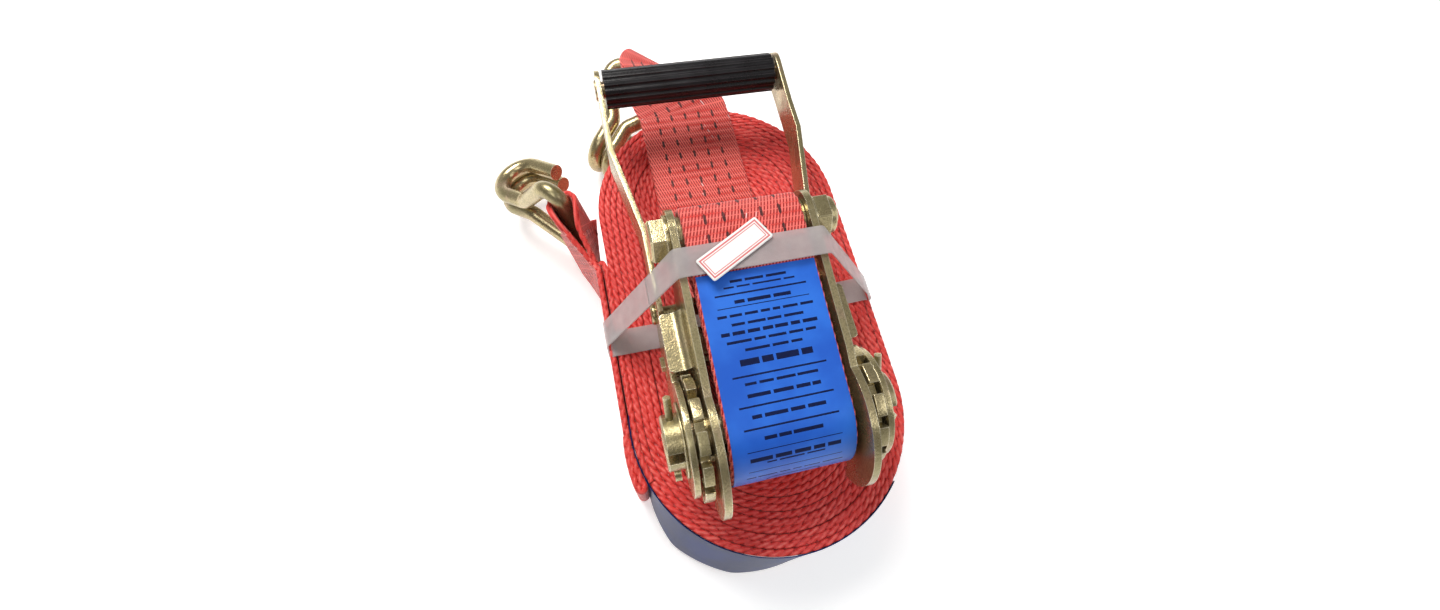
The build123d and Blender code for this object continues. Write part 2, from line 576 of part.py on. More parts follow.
# ---------------------------------------------------------------- coil, tail and its eye
with BuildPart() as long_strap_coil:
    with BuildSketch(Plane.XY.offset(COIL_BASE)):
        with Locations((COIL_X, COIL_Y)):
            SlotCenterToCenter(2 * COIL_HALF_STRAIGHT, 2 * COIL_RADIUS, rotation=90)
            Rectangle(*COIL_CORE, mode=Mode.SUBTRACT)
    extrude(amount=COIL_TOP - COIL_BASE)
    # Furrow that the shipping band presses into the underside
    with BuildSketch(Plane.XY.offset(COIL_BASE)):
        with Locations((COIL_X, sum(BAND_Y) / 2)):
            Rectangle(2 * COIL_RADIUS + 2, BAND_Y[1] - BAND_Y[0] + 2)
    extrude(amount=BAND_THICK + 0.4, mode=Mode.SUBTRACT)
save(long_strap_coil.part, "long_strap_coil")

TAIL_THICK = 2 * STRAP_THICK
TAIL_WIDTH = STRAP_WIDTH - 1.5            # its lower edge clears the shipping band
TAIL_RADIUS = COIL_RADIUS + TAIL_GAP + TAIL_THICK / 2
TAIL_LEAVES_Y = 84
TAIL_START_ANGLE = 200
tail_arc_centre = (COIL_X, COIL_Y - COIL_HALF_STRAIGHT)
tail_x = COIL_X - TAIL_RADIUS
tail_leaves = (tail_x, TAIL_LEAVES_Y, COIL_TOP - TAIL_WIDTH / 2)
with BuildPart() as long_strap_tail:
    with BuildSketch(Plane.XY.offset(COIL_TOP - TAIL_WIDTH)):
        with BuildLine():
            inner = TAIL_RADIUS - TAIL_THICK / 2
            outer = TAIL_RADIUS + TAIL_THICK / 2
            mid_angle = (TAIL_START_ANGLE + 180) / 2
            ThreePointArc(*[polar(inner, a, tail_arc_centre) for a in (TAIL_START_ANGLE, mid_angle, 180)])
            Polyline(polar(inner, 180, tail_arc_centre), (tail_x + TAIL_THICK / 2, TAIL_LEAVES_Y),
                     (tail_x - TAIL_THICK / 2, TAIL_LEAVES_Y), polar(outer, 180, tail_arc_centre))
            ThreePointArc(*[polar(outer, a, tail_arc_centre) for a in (180, mid_angle, TAIL_START_ANGLE)])
            ThreePointArc(polar(outer, TAIL_START_ANGLE, tail_arc_centre),
                          polar(TAIL_RADIUS, TAIL_START_ANGLE + 2.5, tail_arc_centre),
                          polar(inner, TAIL_START_ANGLE, tail_arc_centre))
        make_face()
    extrude(amount=TAIL_WIDTH)
    with BuildSketch(Plane(tail_leaves, x_dir=(0, 0, -1), z_dir=(0, 1, 0))):
        Rectangle(TAIL_WIDTH, TAIL_THICK)
    with BuildSketch(eye_plane(LONG_HOOK_PLANE, tail_leaves)):
        Rectangle(HOOK_EYE_WIDTH, TAIL_THICK)
    loft()
    bar_line = Plane(LONG_HOOK_PLANE.origin, z_dir=LONG_HOOK_PLANE.x_dir)
    with BuildSketch(bar_line):
        Circle(HOOK_EYE_RADIUS + half)
    extrude(amount=HOOK_EYE_WIDTH / 2 - HOOK_EYE_INSET, both=True)
    with BuildSketch(bar_line):
        Circle(HOOK_EYE_RADIUS - half)
    extrude(amount=HOOK_EYE_WIDTH, both=True, mode=Mode.SUBTRACT)
save(long_strap_tail.part, "long_strap_tail")

# Label sewn to the outermost turn, round the coil's near end
LONG_LABEL_ANGLES = (206, 300)
with BuildPart() as long_strap_label:
    with BuildSketch(Plane.XY.offset(COIL_BASE + 1)):
        with BuildLine():
            near = COIL_RADIUS + 0.2
            far = near + 0.6
            first, last = LONG_LABEL_ANGLES
            middle = (first + last) / 2
            ThreePointArc(*[polar(near, a, tail_arc_centre) for a in (first, middle, last)])
            Line(polar(near, last, tail_arc_centre), polar(far, last, tail_arc_centre))
            ThreePointArc(*[polar(far, a, tail_arc_centre) for a in (last, middle, first)])
            Line(polar(far, first, tail_arc_centre), polar(near, first, tail_arc_centre))
        make_face()
    extrude(amount=STRAP_WIDTH - 4)
save(long_strap_label.part, "long_strap_label")

# ---------------------------------------------------------------- shipping band and paper tag
band_left = tail_x - TAIL_THICK / 2 - 0.3
band_right = COIL_X + COIL_RADIUS + 0.3
band_floor = COIL_BASE + BAND_THICK + 0.1
band_shoulder = COIL_TOP + 1
band_corners = ((-BAND_CORNER_X, BAND_TOP_Z), (BAND_CORNER_X, BAND_TOP_Z), (band_right, band_shoulder),
                (band_right, band_floor), (band_left, band_floor), (band_left, band_shoulder))
with BuildPart() as tie_band:
    with BuildSketch(Plane.XZ.offset(-BAND_Y[0])):
        with BuildLine():
            Polyline(*band_corners, close=True)
        make_face()
        offset(amount=BAND_THICK)
        with BuildLine():
            Polyline(*band_corners, close=True)
        make_face(mode=Mode.SUBTRACT)
    extrude(amount=-(BAND_Y[1] - BAND_Y[0]))
save(tie_band.part, "tie_band")

TAG_SIZE = (31, 11)
TAG_CORNER = 0.8
TAG_THICK = 0.4
TAG_TURN = 29
tag_plane = Plane((-7, 62, BAND_TOP_Z + BAND_THICK + 0.5)).rotated((0, 0, TAG_TURN))
with BuildPart() as paper_tag:
    with BuildSketch(tag_plane):
        RectangleRounded(*TAG_SIZE, TAG_CORNER)
    extrude(amount=TAG_THICK)
save(paper_tag.part, "paper_tag")
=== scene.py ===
"""Looks of a ratchet tie down: zinc plated ratchet and hooks, woven webbing, label, band and tag.

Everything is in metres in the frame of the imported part: +X along the mandrel, +Y towards the grip, +Z up.
"""
import json
import math

import bmesh
import bpy
import numpy as np
from mathutils import Matrix, Vector


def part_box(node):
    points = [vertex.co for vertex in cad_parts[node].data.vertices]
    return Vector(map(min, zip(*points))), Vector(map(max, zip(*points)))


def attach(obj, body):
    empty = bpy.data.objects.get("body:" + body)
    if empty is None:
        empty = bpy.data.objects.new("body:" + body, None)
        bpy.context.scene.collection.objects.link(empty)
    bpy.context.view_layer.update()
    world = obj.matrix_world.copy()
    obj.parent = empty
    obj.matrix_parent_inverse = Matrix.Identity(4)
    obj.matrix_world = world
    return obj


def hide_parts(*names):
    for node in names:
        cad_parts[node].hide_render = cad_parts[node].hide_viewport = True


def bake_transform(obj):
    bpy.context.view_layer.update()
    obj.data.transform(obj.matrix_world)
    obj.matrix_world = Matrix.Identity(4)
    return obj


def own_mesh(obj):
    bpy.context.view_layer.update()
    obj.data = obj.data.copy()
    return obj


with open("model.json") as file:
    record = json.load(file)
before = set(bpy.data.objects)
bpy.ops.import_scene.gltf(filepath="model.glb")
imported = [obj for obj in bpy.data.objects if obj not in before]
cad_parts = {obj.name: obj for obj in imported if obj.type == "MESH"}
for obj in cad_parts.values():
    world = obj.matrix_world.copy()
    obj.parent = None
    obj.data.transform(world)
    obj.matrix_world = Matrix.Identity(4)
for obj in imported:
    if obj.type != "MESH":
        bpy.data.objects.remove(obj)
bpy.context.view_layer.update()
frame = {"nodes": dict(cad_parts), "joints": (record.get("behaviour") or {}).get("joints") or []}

MM = 0.001

# Webbing
STRAP_WIDTH = 50 * MM
STRAP_THICK = 3 * MM
LAYER_GAP = 0.1 * MM                    # between two layers of webbing that lie on each other
RIB_PITCH = 4.2 * MM                    # one gentle swell of the weave
RIB_DEPTH = 0.10 * MM
TICK_ROW = 2.1 * MM                     # rows of slanted strands
STRAND_PITCH = 1.35 * MM
RIB_STEP = 0.45 * MM                    # distance between stations along a ribbon
EYE_WIDTH = 31 * MM                     # webbing gathered on a hook's bar
SIDE_ROUND = 1.2 * MM                   # largest rounding of a ribbon's side
STRAND_REACH = 0.8 * MM                 # how far strands stand out of a side

# Places taken from the frame
JOINTS = {joint["name"]: joint for joint in frame["joints"]}


def middle(node):
    """Centre of a node's box."""
    low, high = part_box(node)
    return np.array((low + high) / 2)


bolt = middle("bolt_sleeve")
sleeve_low, sleeve_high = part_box("bolt_sleeve")
sleeve_radius = (sleeve_high.y - sleeve_low.y) / 2
coil_low, coil_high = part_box("long_strap_coil")
coil_centre = middle("long_strap_coil")
coil_radius = (coil_high.x - coil_low.x) / 2
coil_half_straight = (coil_high.y - coil_low.y) / 2 - coil_radius
label_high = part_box("strap_label")[1]
band_low, band_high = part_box("tie_band")

WRAP_RADIUS = 19.5 * MM                 # middle of the webbing round the mandrel
SLEEVE_PLAY = 0.4 * MM
BOLT_EYE_RADIUS = sleeve_radius + SLEEVE_PLAY + STRAP_THICK / 2
HOOK_EYE_RADIUS = 6.8 * MM
LEG_GAP = 0.7 * MM                      # between the coil and the strap that lies on it
LEG_Z = coil_high.z + LEG_GAP + STRAP_THICK / 2
LEG_DROP = math.radians(20)
LEG_END_Y = 182 * MM
bolt_distance = math.hypot(bolt[1], bolt[2])
TOP_ANGLE = math.atan2(bolt[2], bolt[1]) + math.asin((BOLT_EYE_RADIUS - WRAP_RADIUS) / bolt_distance)
WRAP_START = math.pi / 2 + TOP_ANGLE
WRAP_END = 1.5 * math.pi - LEG_DROP


# ---------------------------------------------------------------- materials
class Field:
    """A number in a material. Arithmetic on it adds Math nodes."""

    def __init__(self, tree, socket):
        self.tree = tree
        self.socket = socket

    def math(self, operation, *others):
        node = self.tree.nodes.new("ShaderNodeMath")
        node.operation = operation
        for place, value in enumerate((self,) + others):
            if isinstance(value, Field):
                self.tree.links.new(value.socket, node.inputs[place])
            else:
                node.inputs[place].default_value = value
        return Field(self.tree, node.outputs[0])

    def __add__(self, other):
        return self.math("ADD", other)

    def __sub__(self, other):
        return self.math("SUBTRACT", other)

    def __mul__(self, other):
        return self.math("MULTIPLY", other)

    def __truediv__(self, other):
        return self.math("DIVIDE", other)

    def fraction(self):
        return self.math("FRACT")

    def floor(self):
        return self.math("FLOOR")

    def absolute(self):
        return self.math("ABSOLUTE")

    def wave(self):
        """One cosine hump per unit, 0 at whole numbers and 1 halfway between them."""
        return (self.fraction() * math.pi).math("SINE")

    def step(self, low, high):
        """0 below low, 1 above high, smooth between them."""
        node = self.tree.nodes.new("ShaderNodeMapRange")
        node.interpolation_type = "SMOOTHSTEP"
        node.inputs["From Min"].default_value = low
        node.inputs["From Max"].default_value = high
        self.tree.links.new(self.socket, node.inputs["Value"])
        return Field(self.tree, node.outputs["Result"])


class Paint:
    """A Principled material whose inputs are built up from fields."""

    def __init__(self, name, **inputs):
        self.material = bpy.data.materials.new(name)
        self.material.use_nodes = True
        self.tree = self.material.node_tree
        self.shader = self.tree.nodes["Principled BSDF"]
        for key, value in inputs.items():
            self.shader.inputs[key.replace("_", " ")].default_value = value

    def noise(self, scale, detail=3.0, stretch=(1, 1, 1)):
        """Cloudy field from 0 to 1. The scale is in features per metre."""
        place = self.tree.nodes.new("ShaderNodeTexCoord")
        mapping = self.tree.nodes.new("ShaderNodeMapping")
        mapping.inputs["Scale"].default_value = stretch
        node = self.tree.nodes.new("ShaderNodeTexNoise")
        node.inputs["Scale"].default_value = scale
        node.inputs["Detail"].default_value = detail
        self.tree.links.new(place.outputs["Object"], mapping.inputs["Vector"])
        self.tree.links.new(mapping.outputs["Vector"], node.inputs["Vector"])
        return Field(self.tree, node.outputs[0])

    def uv(self):
        """The two coordinates of a ribbon, across and along, in metres."""
        node = self.tree.nodes.new("ShaderNodeUVMap")
        split = self.tree.nodes.new("ShaderNodeSeparateXYZ")
        self.tree.links.new(node.outputs["UV"], split.inputs["Vector"])
        return Field(self.tree, split.outputs["X"]), Field(self.tree, split.outputs["Y"])

    def attribute(self, name):
        node = self.tree.nodes.new("ShaderNodeAttribute")
        node.attribute_name = name
        return Field(self.tree, node.outputs["Fac"])

    def cells(self, u, v):
        """A random number from 0 to 1 for each pair of whole numbers."""
        join = self.tree.nodes.new("ShaderNodeCombineXYZ")
        self.tree.links.new(u.socket, join.inputs["X"])
        self.tree.links.new(v.socket, join.inputs["Y"])
        node = self.tree.nodes.new("ShaderNodeTexWhiteNoise")
        self.tree.links.new(join.outputs["Vector"], node.inputs["Vector"])
        return Field(self.tree, node.outputs["Value"])

    def edge(self, radius):
        """1 along sharp edges and 0 on flats, from the angle between the true and the rounded normal."""
        bevel = self.tree.nodes.new("ShaderNodeBevel")
        bevel.samples = 4
        bevel.inputs["Radius"].default_value = radius
        true_normal = self.tree.nodes.new("ShaderNodeNewGeometry")
        dot = self.tree.nodes.new("ShaderNodeVectorMath")
        dot.operation = "DOT_PRODUCT"
        self.tree.links.new(bevel.outputs["Normal"], dot.inputs[0])
        self.tree.links.new(true_normal.outputs["Normal"], dot.inputs[1])
        return Field(self.tree, dot.outputs["Value"]).step(0.995, 0.93)

    def mix(self, share, low, high):
        """Colour that goes from low to high as share goes from 0 to 1. Each end is a colour or a socket."""
        node = self.tree.nodes.new("ShaderNodeMix")
        node.data_type = "RGBA"
        self.tree.links.new(share.socket, node.inputs["Factor"])
        for socket, value in ((node.inputs[6], low), (node.inputs[7], high)):
            if isinstance(value, tuple):
                socket.default_value = (*value, 1)
            else:
                self.tree.links.new(value, socket)
        return node.outputs[2]

    def drive(self, name, value):
        socket = value.socket if isinstance(value, Field) else value
        self.tree.links.new(socket, self.shader.inputs[name])

    def bump(self, height, distance, strength=1.0):
        node = self.tree.nodes.new("ShaderNodeBump")
        node.inputs["Distance"].default_value = distance
        node.inputs["Strength"].default_value = strength
        self.tree.links.new(height.socket, node.inputs["Height"])
        self.tree.links.new(node.outputs["Normal"], self.shader.inputs["Normal"])


def zinc_paint():
    """Yellow passivated zinc: pale gold, olive and pinkish clouds, fine speckle and painted highlights along
    its edges.
    """
    paint = Paint("zinc_steel", Metallic=0.82)
    clouds = paint.noise(45, 4).step(0.38, 0.66)
    blush = paint.noise(75, 5).step(0.52, 0.72)
    speckle = paint.noise(1500, 2)
    colour = paint.mix(clouds, (0.60, 0.50, 0.28), (0.37, 0.32, 0.17))
    colour = paint.mix(blush * 0.6, colour, (0.62, 0.42, 0.32))
    colour = paint.mix(speckle.step(0.45, 0.62) * 0.55, colour, (0.24, 0.20, 0.10))
    # Painted highlight: pale gold along sharp edges, where the lights glint.
    colour = paint.mix(paint.edge(0.6 * MM) * 0.7, colour, (0.95, 0.88, 0.68))
    paint.drive("Base Color", colour)
    paint.drive("Roughness", clouds * 0.10 + speckle * 0.16 + 0.14)
    paint.bump(speckle + paint.noise(260, 2) * 2, 0.10 * MM, 0.6)
    return paint.material


def spring_paint():
    """Plain drawn wire with faint lines along it."""
    paint = Paint("spring_steel", Metallic=1.0)
    grain = paint.noise(900, 3)
    paint.drive("Base Color", paint.mix(grain, (0.33, 0.33, 0.34), (0.62, 0.61, 0.58)))
    paint.drive("Roughness", grain * 0.2 + 0.22)
    paint.bump(grain, 0.02 * MM, 0.4)
    return paint.material


def grip_paint():
    """Black plastic with a fine moulded texture, greyed where hands have rubbed it, and painted highlights
    along its ridges' edges.
    """
    paint = Paint("grip_plastic")
    grain = paint.noise(2200, 2)
    rubbed = paint.noise(60, 4).step(0.45, 0.75)
    colour = paint.mix(rubbed, (0.004, 0.003, 0.004), (0.010, 0.009, 0.011))
    # Painted highlight: sharp edges of the ridges greyed like lit ridge lines.
    paint.drive("Base Color", paint.mix(paint.edge(0.7 * MM) * 0.4, colour, (0.09, 0.08, 0.085)))
    paint.drive("Roughness", grain * 0.12 + rubbed * 0.08 + 0.22)
    paint.bump(grain, 0.03 * MM, 0.35)
    return paint.material


# WEAVE_DARK: painted shade in the weave's gaps, and also random dark fibres. WEAVE_PALE: the pale salmon of
# lit webbing, a painted highlight. WEAVE_RED: the dyed red.
WEAVE_DARK = (0.34, 0.010, 0.010)
WEAVE_RED = (0.70, 0.040, 0.032)
WEAVE_PALE = (0.95, 0.185, 0.155)
FLECK_ROW_SHIFT = 311.0                 # keeps the flecks' random numbers apart from the fibres'
DASH_COLUMNS = 6.5                      # marker threads fit this often into the strap's width
DASH_HALF_LENGTH = 1.5 * MM


def webbing_paint():
    """Flat face of the webbing: rows of slanted strands with painted shade between them, painted highlights
    on the swells' crests and in random patches, black marker dashes and a few white flecks.
    """
    paint = Paint("red_webbing", Specular_IOR_Level=0.3, Sheen_Weight=0.2, Sheen_Roughness=0.4)
    u, v = paint.uv()
    rows = v / TICK_ROW
    row = rows.floor()
    within = rows.fraction()
    strands = u / STRAND_PITCH + (within - 0.5) * 0.5 + row * 0.5
    gap = strands.wave().step(0.78, 0.52) * within.wave().step(0.10, 0.40)
    swell = (v / RIB_PITCH + 0.5).wave()
    tone = paint.noise(55, 4)
    fibre = paint.cells((strands * 4).floor(), row)
    # Painted highlight: pale salmon on the swells' crests and, together with the webbing's own tone, in
    # random patches.
    pale = (swell * 0.35 + tone * 0.8 + fibre * 0.12).step(0.34, 0.70)
    colour = paint.mix(pale, WEAVE_RED, WEAVE_PALE)
    # Painted shade in the gaps between the strands.
    colour = paint.mix(gap * 0.95, colour, WEAVE_DARK)
    # White flecks: a strand here and there has lost its dye
    worn = paint.noise(38, 2).step(0.52, 0.62)
    chosen = paint.cells(strands.floor(), row + FLECK_ROW_SHIFT).step(0.955, 0.965)
    fleck = chosen * strands.wave().step(0.75, 0.9) * worn
    colour = paint.mix(fleck * 0.85, colour, (0.95, 0.82, 0.80))
    # Marker threads: five columns of dashes, each pointed at both ends
    column = u / STRAP_WIDTH * DASH_COLUMNS + 0.25
    off_centre = ((column.fraction() - 0.5) / DASH_COLUMNS * STRAP_WIDTH).absolute()
    along = ((v / (2 * RIB_PITCH)).fraction() - 0.5) * (2 * RIB_PITCH)
    wedge = (along.absolute() - DASH_HALF_LENGTH).math("MAXIMUM", 0) * 0.6 + off_centre
    dash = wedge.step(0.70 * MM, 0.54 * MM)
    inside = ((u / STRAP_WIDTH - 0.5).absolute()).step(0.40, 0.385)
    colour = paint.mix(dash * inside * (fibre * 0.25 + 0.75), colour, (0.018, 0.010, 0.011))
    paint.drive("Base Color", colour)
    paint.drive("Roughness", tone * 0.15 + fibre * 0.12 + 0.45)
    paint.bump(gap * -1 + fibre * 0.1, 0.30 * MM, 0.7)
    return paint.material


def webbing_edge_paint():
    """Edge of the webbing, where the strands turn back: painted highlights on the crowns and painted shade
    in the gaps.
    """
    paint = Paint("webbing_edge", Specular_IOR_Level=0.4, Sheen_Weight=0.15, Sheen_Roughness=0.35)
    crown = paint.attribute("crown")
    tone = paint.noise(70, 4)
    fine = paint.noise(1700, 3)
    # Painted shade in the gaps and painted highlights on the crowns, from the crown height; the highlight
    # also spreads in random patches.
    colour = paint.mix(crown.step(0.0, 0.45), (0.44, 0.016, 0.014), (0.74, 0.050, 0.042))
    colour = paint.mix((crown * (tone * 0.9 + 0.5)).step(0.6, 1.05) * 0.8, colour, WEAVE_PALE)
    colour = paint.mix(fine.step(0.5, 0.8) * 0.35, colour, WEAVE_DARK)
    paint.drive("Base Color", colour)
    paint.drive("Roughness", fine * 0.2 + tone * 0.1 + 0.30)
    paint.bump(fine, 0.12 * MM, 0.6)
    return paint.material


def label_paint(name, low, high, shine=0.4):
    """Satin blue woven label, lighter in random patches: painted light, mixed between its shaded and its lit
    colours.
    """
    paint = Paint(name, Specular_IOR_Level=shine, Sheen_Weight=shine / 4)
    u, v = paint.uv()
    weave = (u / (0.5 * MM)).wave() * (v / (0.5 * MM)).wave()
    tone = paint.noise(40, 4)
    # Painted light: low is the label's shaded colour and high its lit colour, mixed in random patches.
    colour = paint.mix(tone.step(0.35, 0.7), low, high)
    paint.drive("Base Color", paint.mix(weave * 0.15, colour, low))
    paint.drive("Roughness", tone * 0.12 + weave * 0.05 + 0.30)
    paint.bump(weave * 0.2 + paint.noise(180, 3), 0.12 * MM, 0.35)
    return paint.material


def print_paint():
    """Thin dark print on the label."""
    paint = Paint("label_print", Specular_IOR_Level=0.15)
    tone = paint.noise(500, 3)
    paint.drive("Base Color", paint.mix(tone, (0.002, 0.004, 0.035), (0.004, 0.012, 0.07)))
    paint.drive("Roughness", tone * 0.2 + 0.35)
    paint.bump(tone, 0.02 * MM, 0.3)
    return paint.material


def band_paint():
    """Milky plastic band with a fine embossed diamond grid."""
    paint = Paint("clear_band", Specular_IOR_Level=0.5)
    u, v = paint.uv()
    grid = ((u + v) / (0.9 * MM)).wave() * ((u - v) / (0.9 * MM)).wave()
    cloud = paint.noise(120, 3)
    paint.drive("Base Color", paint.mix(grid * 0.4 + cloud * 0.4, (0.50, 0.44, 0.44), (0.86, 0.80, 0.80)))
    paint.drive("Roughness", grid * 0.15 + cloud * 0.15 + 0.25)
    paint.drive("Alpha", grid * 0.12 + cloud * 0.2 + 0.38)
    paint.bump(grid, 0.12 * MM, 0.8)
    return paint.material


def tag_paint(half_length, half_height):
    """White paper with a thick and a thin red line inside its border."""
    paint = Paint("tag_paper")
    u, v = paint.uv()
    inset = (u.absolute() * -1 + half_length).math("MINIMUM", v.absolute() * -1 + half_height)
    outer = inset.step(0.80 * MM, 0.95 * MM) * inset.step(1.60 * MM, 1.45 * MM)
    inner = inset.step(1.95 * MM, 2.05 * MM) * inset.step(2.40 * MM, 2.30 * MM)
    fibre = paint.noise(900, 4)
    colour = paint.mix(fibre, (0.82, 0.80, 0.77), (0.93, 0.92, 0.90))
    paint.drive("Base Color", paint.mix(outer.math("MAXIMUM", inner) * 0.85, colour, (0.62, 0.03, 0.04)))
    paint.drive("Roughness", fibre * 0.2 + 0.45)
    paint.bump(fibre, 0.05 * MM, 0.4)
    return paint.material


def floor_paint():
    paint = Paint("floor", Emission_Color=(1, 1, 1, 1), Emission_Strength=0.45)
    tone = paint.noise(8, 2)
    paint.drive("Base Color", paint.mix(tone, (0.86, 0.86, 0.86), (0.90, 0.90, 0.90)))
    paint.drive("Roughness", tone * 0.1 + 0.6)
    return paint.material


ZINC = zinc_paint()
SPRING = spring_paint()
GRIP = grip_paint()
WEBBING = webbing_paint()
WEBBING_EDGE = webbing_edge_paint()
# Its two colours are the blue label's shaded and lit colours: painted shade and painted highlight.
LABEL = label_paint("label_blue", (0.008, 0.10, 0.56), (0.020, 0.17, 0.74))
LABEL_DARK = label_paint("label_blue_low", (0.003, 0.013, 0.085), (0.005, 0.026, 0.16), 0.1)
PRINT = print_paint()
BAND = band_paint()


# ---------------------------------------------------------------- mesh helpers
def unit(vectors):
    """Vectors scaled to length 1, one vector or one per row."""
    vectors = np.asarray(vectors, float)
    return vectors / np.linalg.norm(vectors, axis=-1, keepdims=True)


def grid_object(name, grid, uv, materials, closed=True, face_material=None):
    """Object through a grid of points (station, place round the section), capped at both ends if closed."""
    stations, around = grid.shape[:2]
    index = np.arange(stations * around).reshape(stations, around)
    following = np.roll(index, -1, axis=1)
    quads = np.stack([index[:-1], index[1:], following[1:], following[:-1]], axis=-1)
    faces = quads.reshape(-1, 4).tolist()
    if closed:
        faces += [index[0].tolist(), index[-1][::-1].tolist()]
    mesh = bpy.data.meshes.new(name)
    mesh.from_pydata(grid.reshape(-1, 3).tolist(), [], faces)
    for material in materials:
        mesh.materials.append(material)
    if face_material is not None:
        chosen = np.zeros(len(faces), int)
        chosen[:face_material.size] = face_material.ravel()
        mesh.polygons.foreach_set("material_index", chosen)
    corners = np.zeros(len(mesh.loops), int)
    mesh.loops.foreach_get("vertex_index", corners)
    layer = mesh.uv_layers.new(name="UVMap")
    layer.data.foreach_set("uv", uv.reshape(-1, 2)[corners].ravel())
    mesh.polygons.foreach_set("use_smooth", [True] * len(faces))
    surface = bmesh.new()
    surface.from_mesh(mesh)
    bmesh.ops.recalc_face_normals(surface, faces=surface.faces)
    surface.to_mesh(mesh)
    surface.free()
    made = bpy.data.objects.new(name, mesh)
    bpy.context.scene.collection.objects.link(made)
    return made


def add_attribute(made, name, values):
    attribute = made.data.attributes.new(name, "FLOAT", "POINT")
    attribute.data.foreach_set("value", np.asarray(values, np.float32).ravel())


class Path:
    """Middle line of a ribbon: points, direction across it, width and share of the swinging body."""

    def __init__(self):
        self.points, self.across, self.widths, self.shares = [], [], [], []

    def add(self, points, across=(1, 0, 0), width=STRAP_WIDTH, share=0.0):
        points = np.atleast_2d(points)
        count = len(points)
        self.points += list(points)
        self.across += list(np.broadcast_to(np.asarray(across, float), (count, 3)))
        self.widths += list(np.broadcast_to(width, count))
        self.shares += list(np.broadcast_to(share, count))
        return self

    def stations(self, step, passes):
        """The path at equal steps with its corners eased, as (distance, points, across, widths, shares)."""
        points = np.array(self.points)
        reach = np.r_[0, np.cumsum(np.linalg.norm(np.diff(points, axis=0), axis=1))]
        distance = np.linspace(0, reach[-1], int(round(reach[-1] / step)) + 1)
        table = np.column_stack([points, self.across, self.widths, self.shares])
        table = np.column_stack([np.interp(distance, reach, column) for column in table.T])
        for _ in range(passes):
            table[1:-1, :7] = (table[:-2, :7] + 2 * table[1:-1, :7] + table[2:, :7]) / 4
        return distance, table[:, :3], unit(table[:, 3:6]), table[:, 6], table[:, 7]


def line(start, end, count=2):
    return np.linspace(start, end, count)


def around_bar(centre, axis, radius, before, after):
    """Arc of a strap that comes from one point, goes round a bar and leaves for another point."""
    axis = unit(axis)
    centre = np.asarray(centre, float)
    towards = (np.asarray(before) + np.asarray(after)) / 2 - centre
    towards = unit(towards - axis * (towards @ axis))
    aside = np.cross(axis, towards)
    if (np.asarray(before) - np.asarray(after)) @ aside < 0:
        aside = -aside
    ends = []
    for point, sign in ((before, 1), (after, -1)):
        x, y = (np.asarray(point) - centre) @ towards, (np.asarray(point) - centre) @ aside
        ends.append(math.atan2(y, x) + sign * math.acos(radius / math.hypot(x, y)))
    angles = np.linspace(ends[0], ends[1] + 2 * math.pi, 40)[:, None]
    return centre + radius * (np.cos(angles) * towards + np.sin(angles) * aside)


def ribbon(name, path, thick, columns, materials, step=RIB_STEP, passes=24, rib_depth=0.0, ripple=0.0,
           chooser=None, generator=None):
    """Solid ribbon along a path, with rounded sides and ribs on both faces.

    The ripple makes it slightly wavy, a chooser picks each face's material, and a generator adds strands
    on its sides.
    """
    distance, points, across, widths, shares = path.stations(step, passes)
    tangent = unit(np.gradient(points, axis=0))
    normal = unit(np.cross(across, tangent))
    side = np.cross(tangent, normal)
    round_radius = min(thick / 2, SIDE_ROUND)
    turn = np.radians([35, 65])
    flat = np.r_[-1, -1, -1, np.linspace(-1, 1, columns), 1, 1, 1]
    extra = np.r_[-1, -np.cos(turn), np.zeros(columns), np.cos(turn)[::-1], 1]
    height = np.r_[0, np.sin(turn), np.ones(columns), np.sin(turn)[::-1], 0]
    flat = np.r_[flat, flat[-2:0:-1]]
    extra = np.r_[extra, extra[-2:0:-1]]
    height = np.r_[height, -height[-2:0:-1]]
    rib = np.abs(np.cos(math.pi * distance / RIB_PITCH)) ** 0.8 - 1
    edge_wave = 1 + 0.012 * rib * (rib_depth > 0)
    offset = (flat * (widths[:, None] / 2 - round_radius) + extra * round_radius) * edge_wave[:, None]
    # Crown height, which the edge material turns into painted highlight and painted shade.
    crown = np.broadcast_to(0.5 + 0.5 * rib[:, None], offset.shape)
    if generator is not None:
        bumps = strand_bumps(distance, height * thick / 2, generator)
        offset = offset + np.sign(flat) * (extra != 0) * bumps * STRAND_REACH
        crown = np.where(extra != 0, bumps, crown)
    lift = height * (thick / 2 + rib_depth * rib[:, None])
    sway = ripple * (np.sin(distance / (23 * MM)) + np.sin(distance / (9 * MM) + 1.3))[:, None]
    sway = sway * (0.5 + 0.5 * np.sin(offset / (14 * MM) + distance[:, None] / (31 * MM)))
    grid = points[:, None] + side[:, None] * offset[..., None] + normal[:, None] * (lift + sway)[..., None]
    share_across = 0.5 + offset / widths[:, None]
    uv = np.stack([share_across * STRAP_WIDTH, np.broadcast_to(distance[:, None], offset.shape)], axis=-1)
    face_material = None
    if chooser is not None:
        face_material = chooser(share_across, distance / distance[-1], height)
    made = grid_object(name, grid, uv, materials, face_material=face_material)
    add_attribute(made, "crown", crown)
    return made, np.repeat(shares, offset.shape[1])


def follow_frame(made):
    """Bakes a piece's placement into its mesh."""
    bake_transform(made)


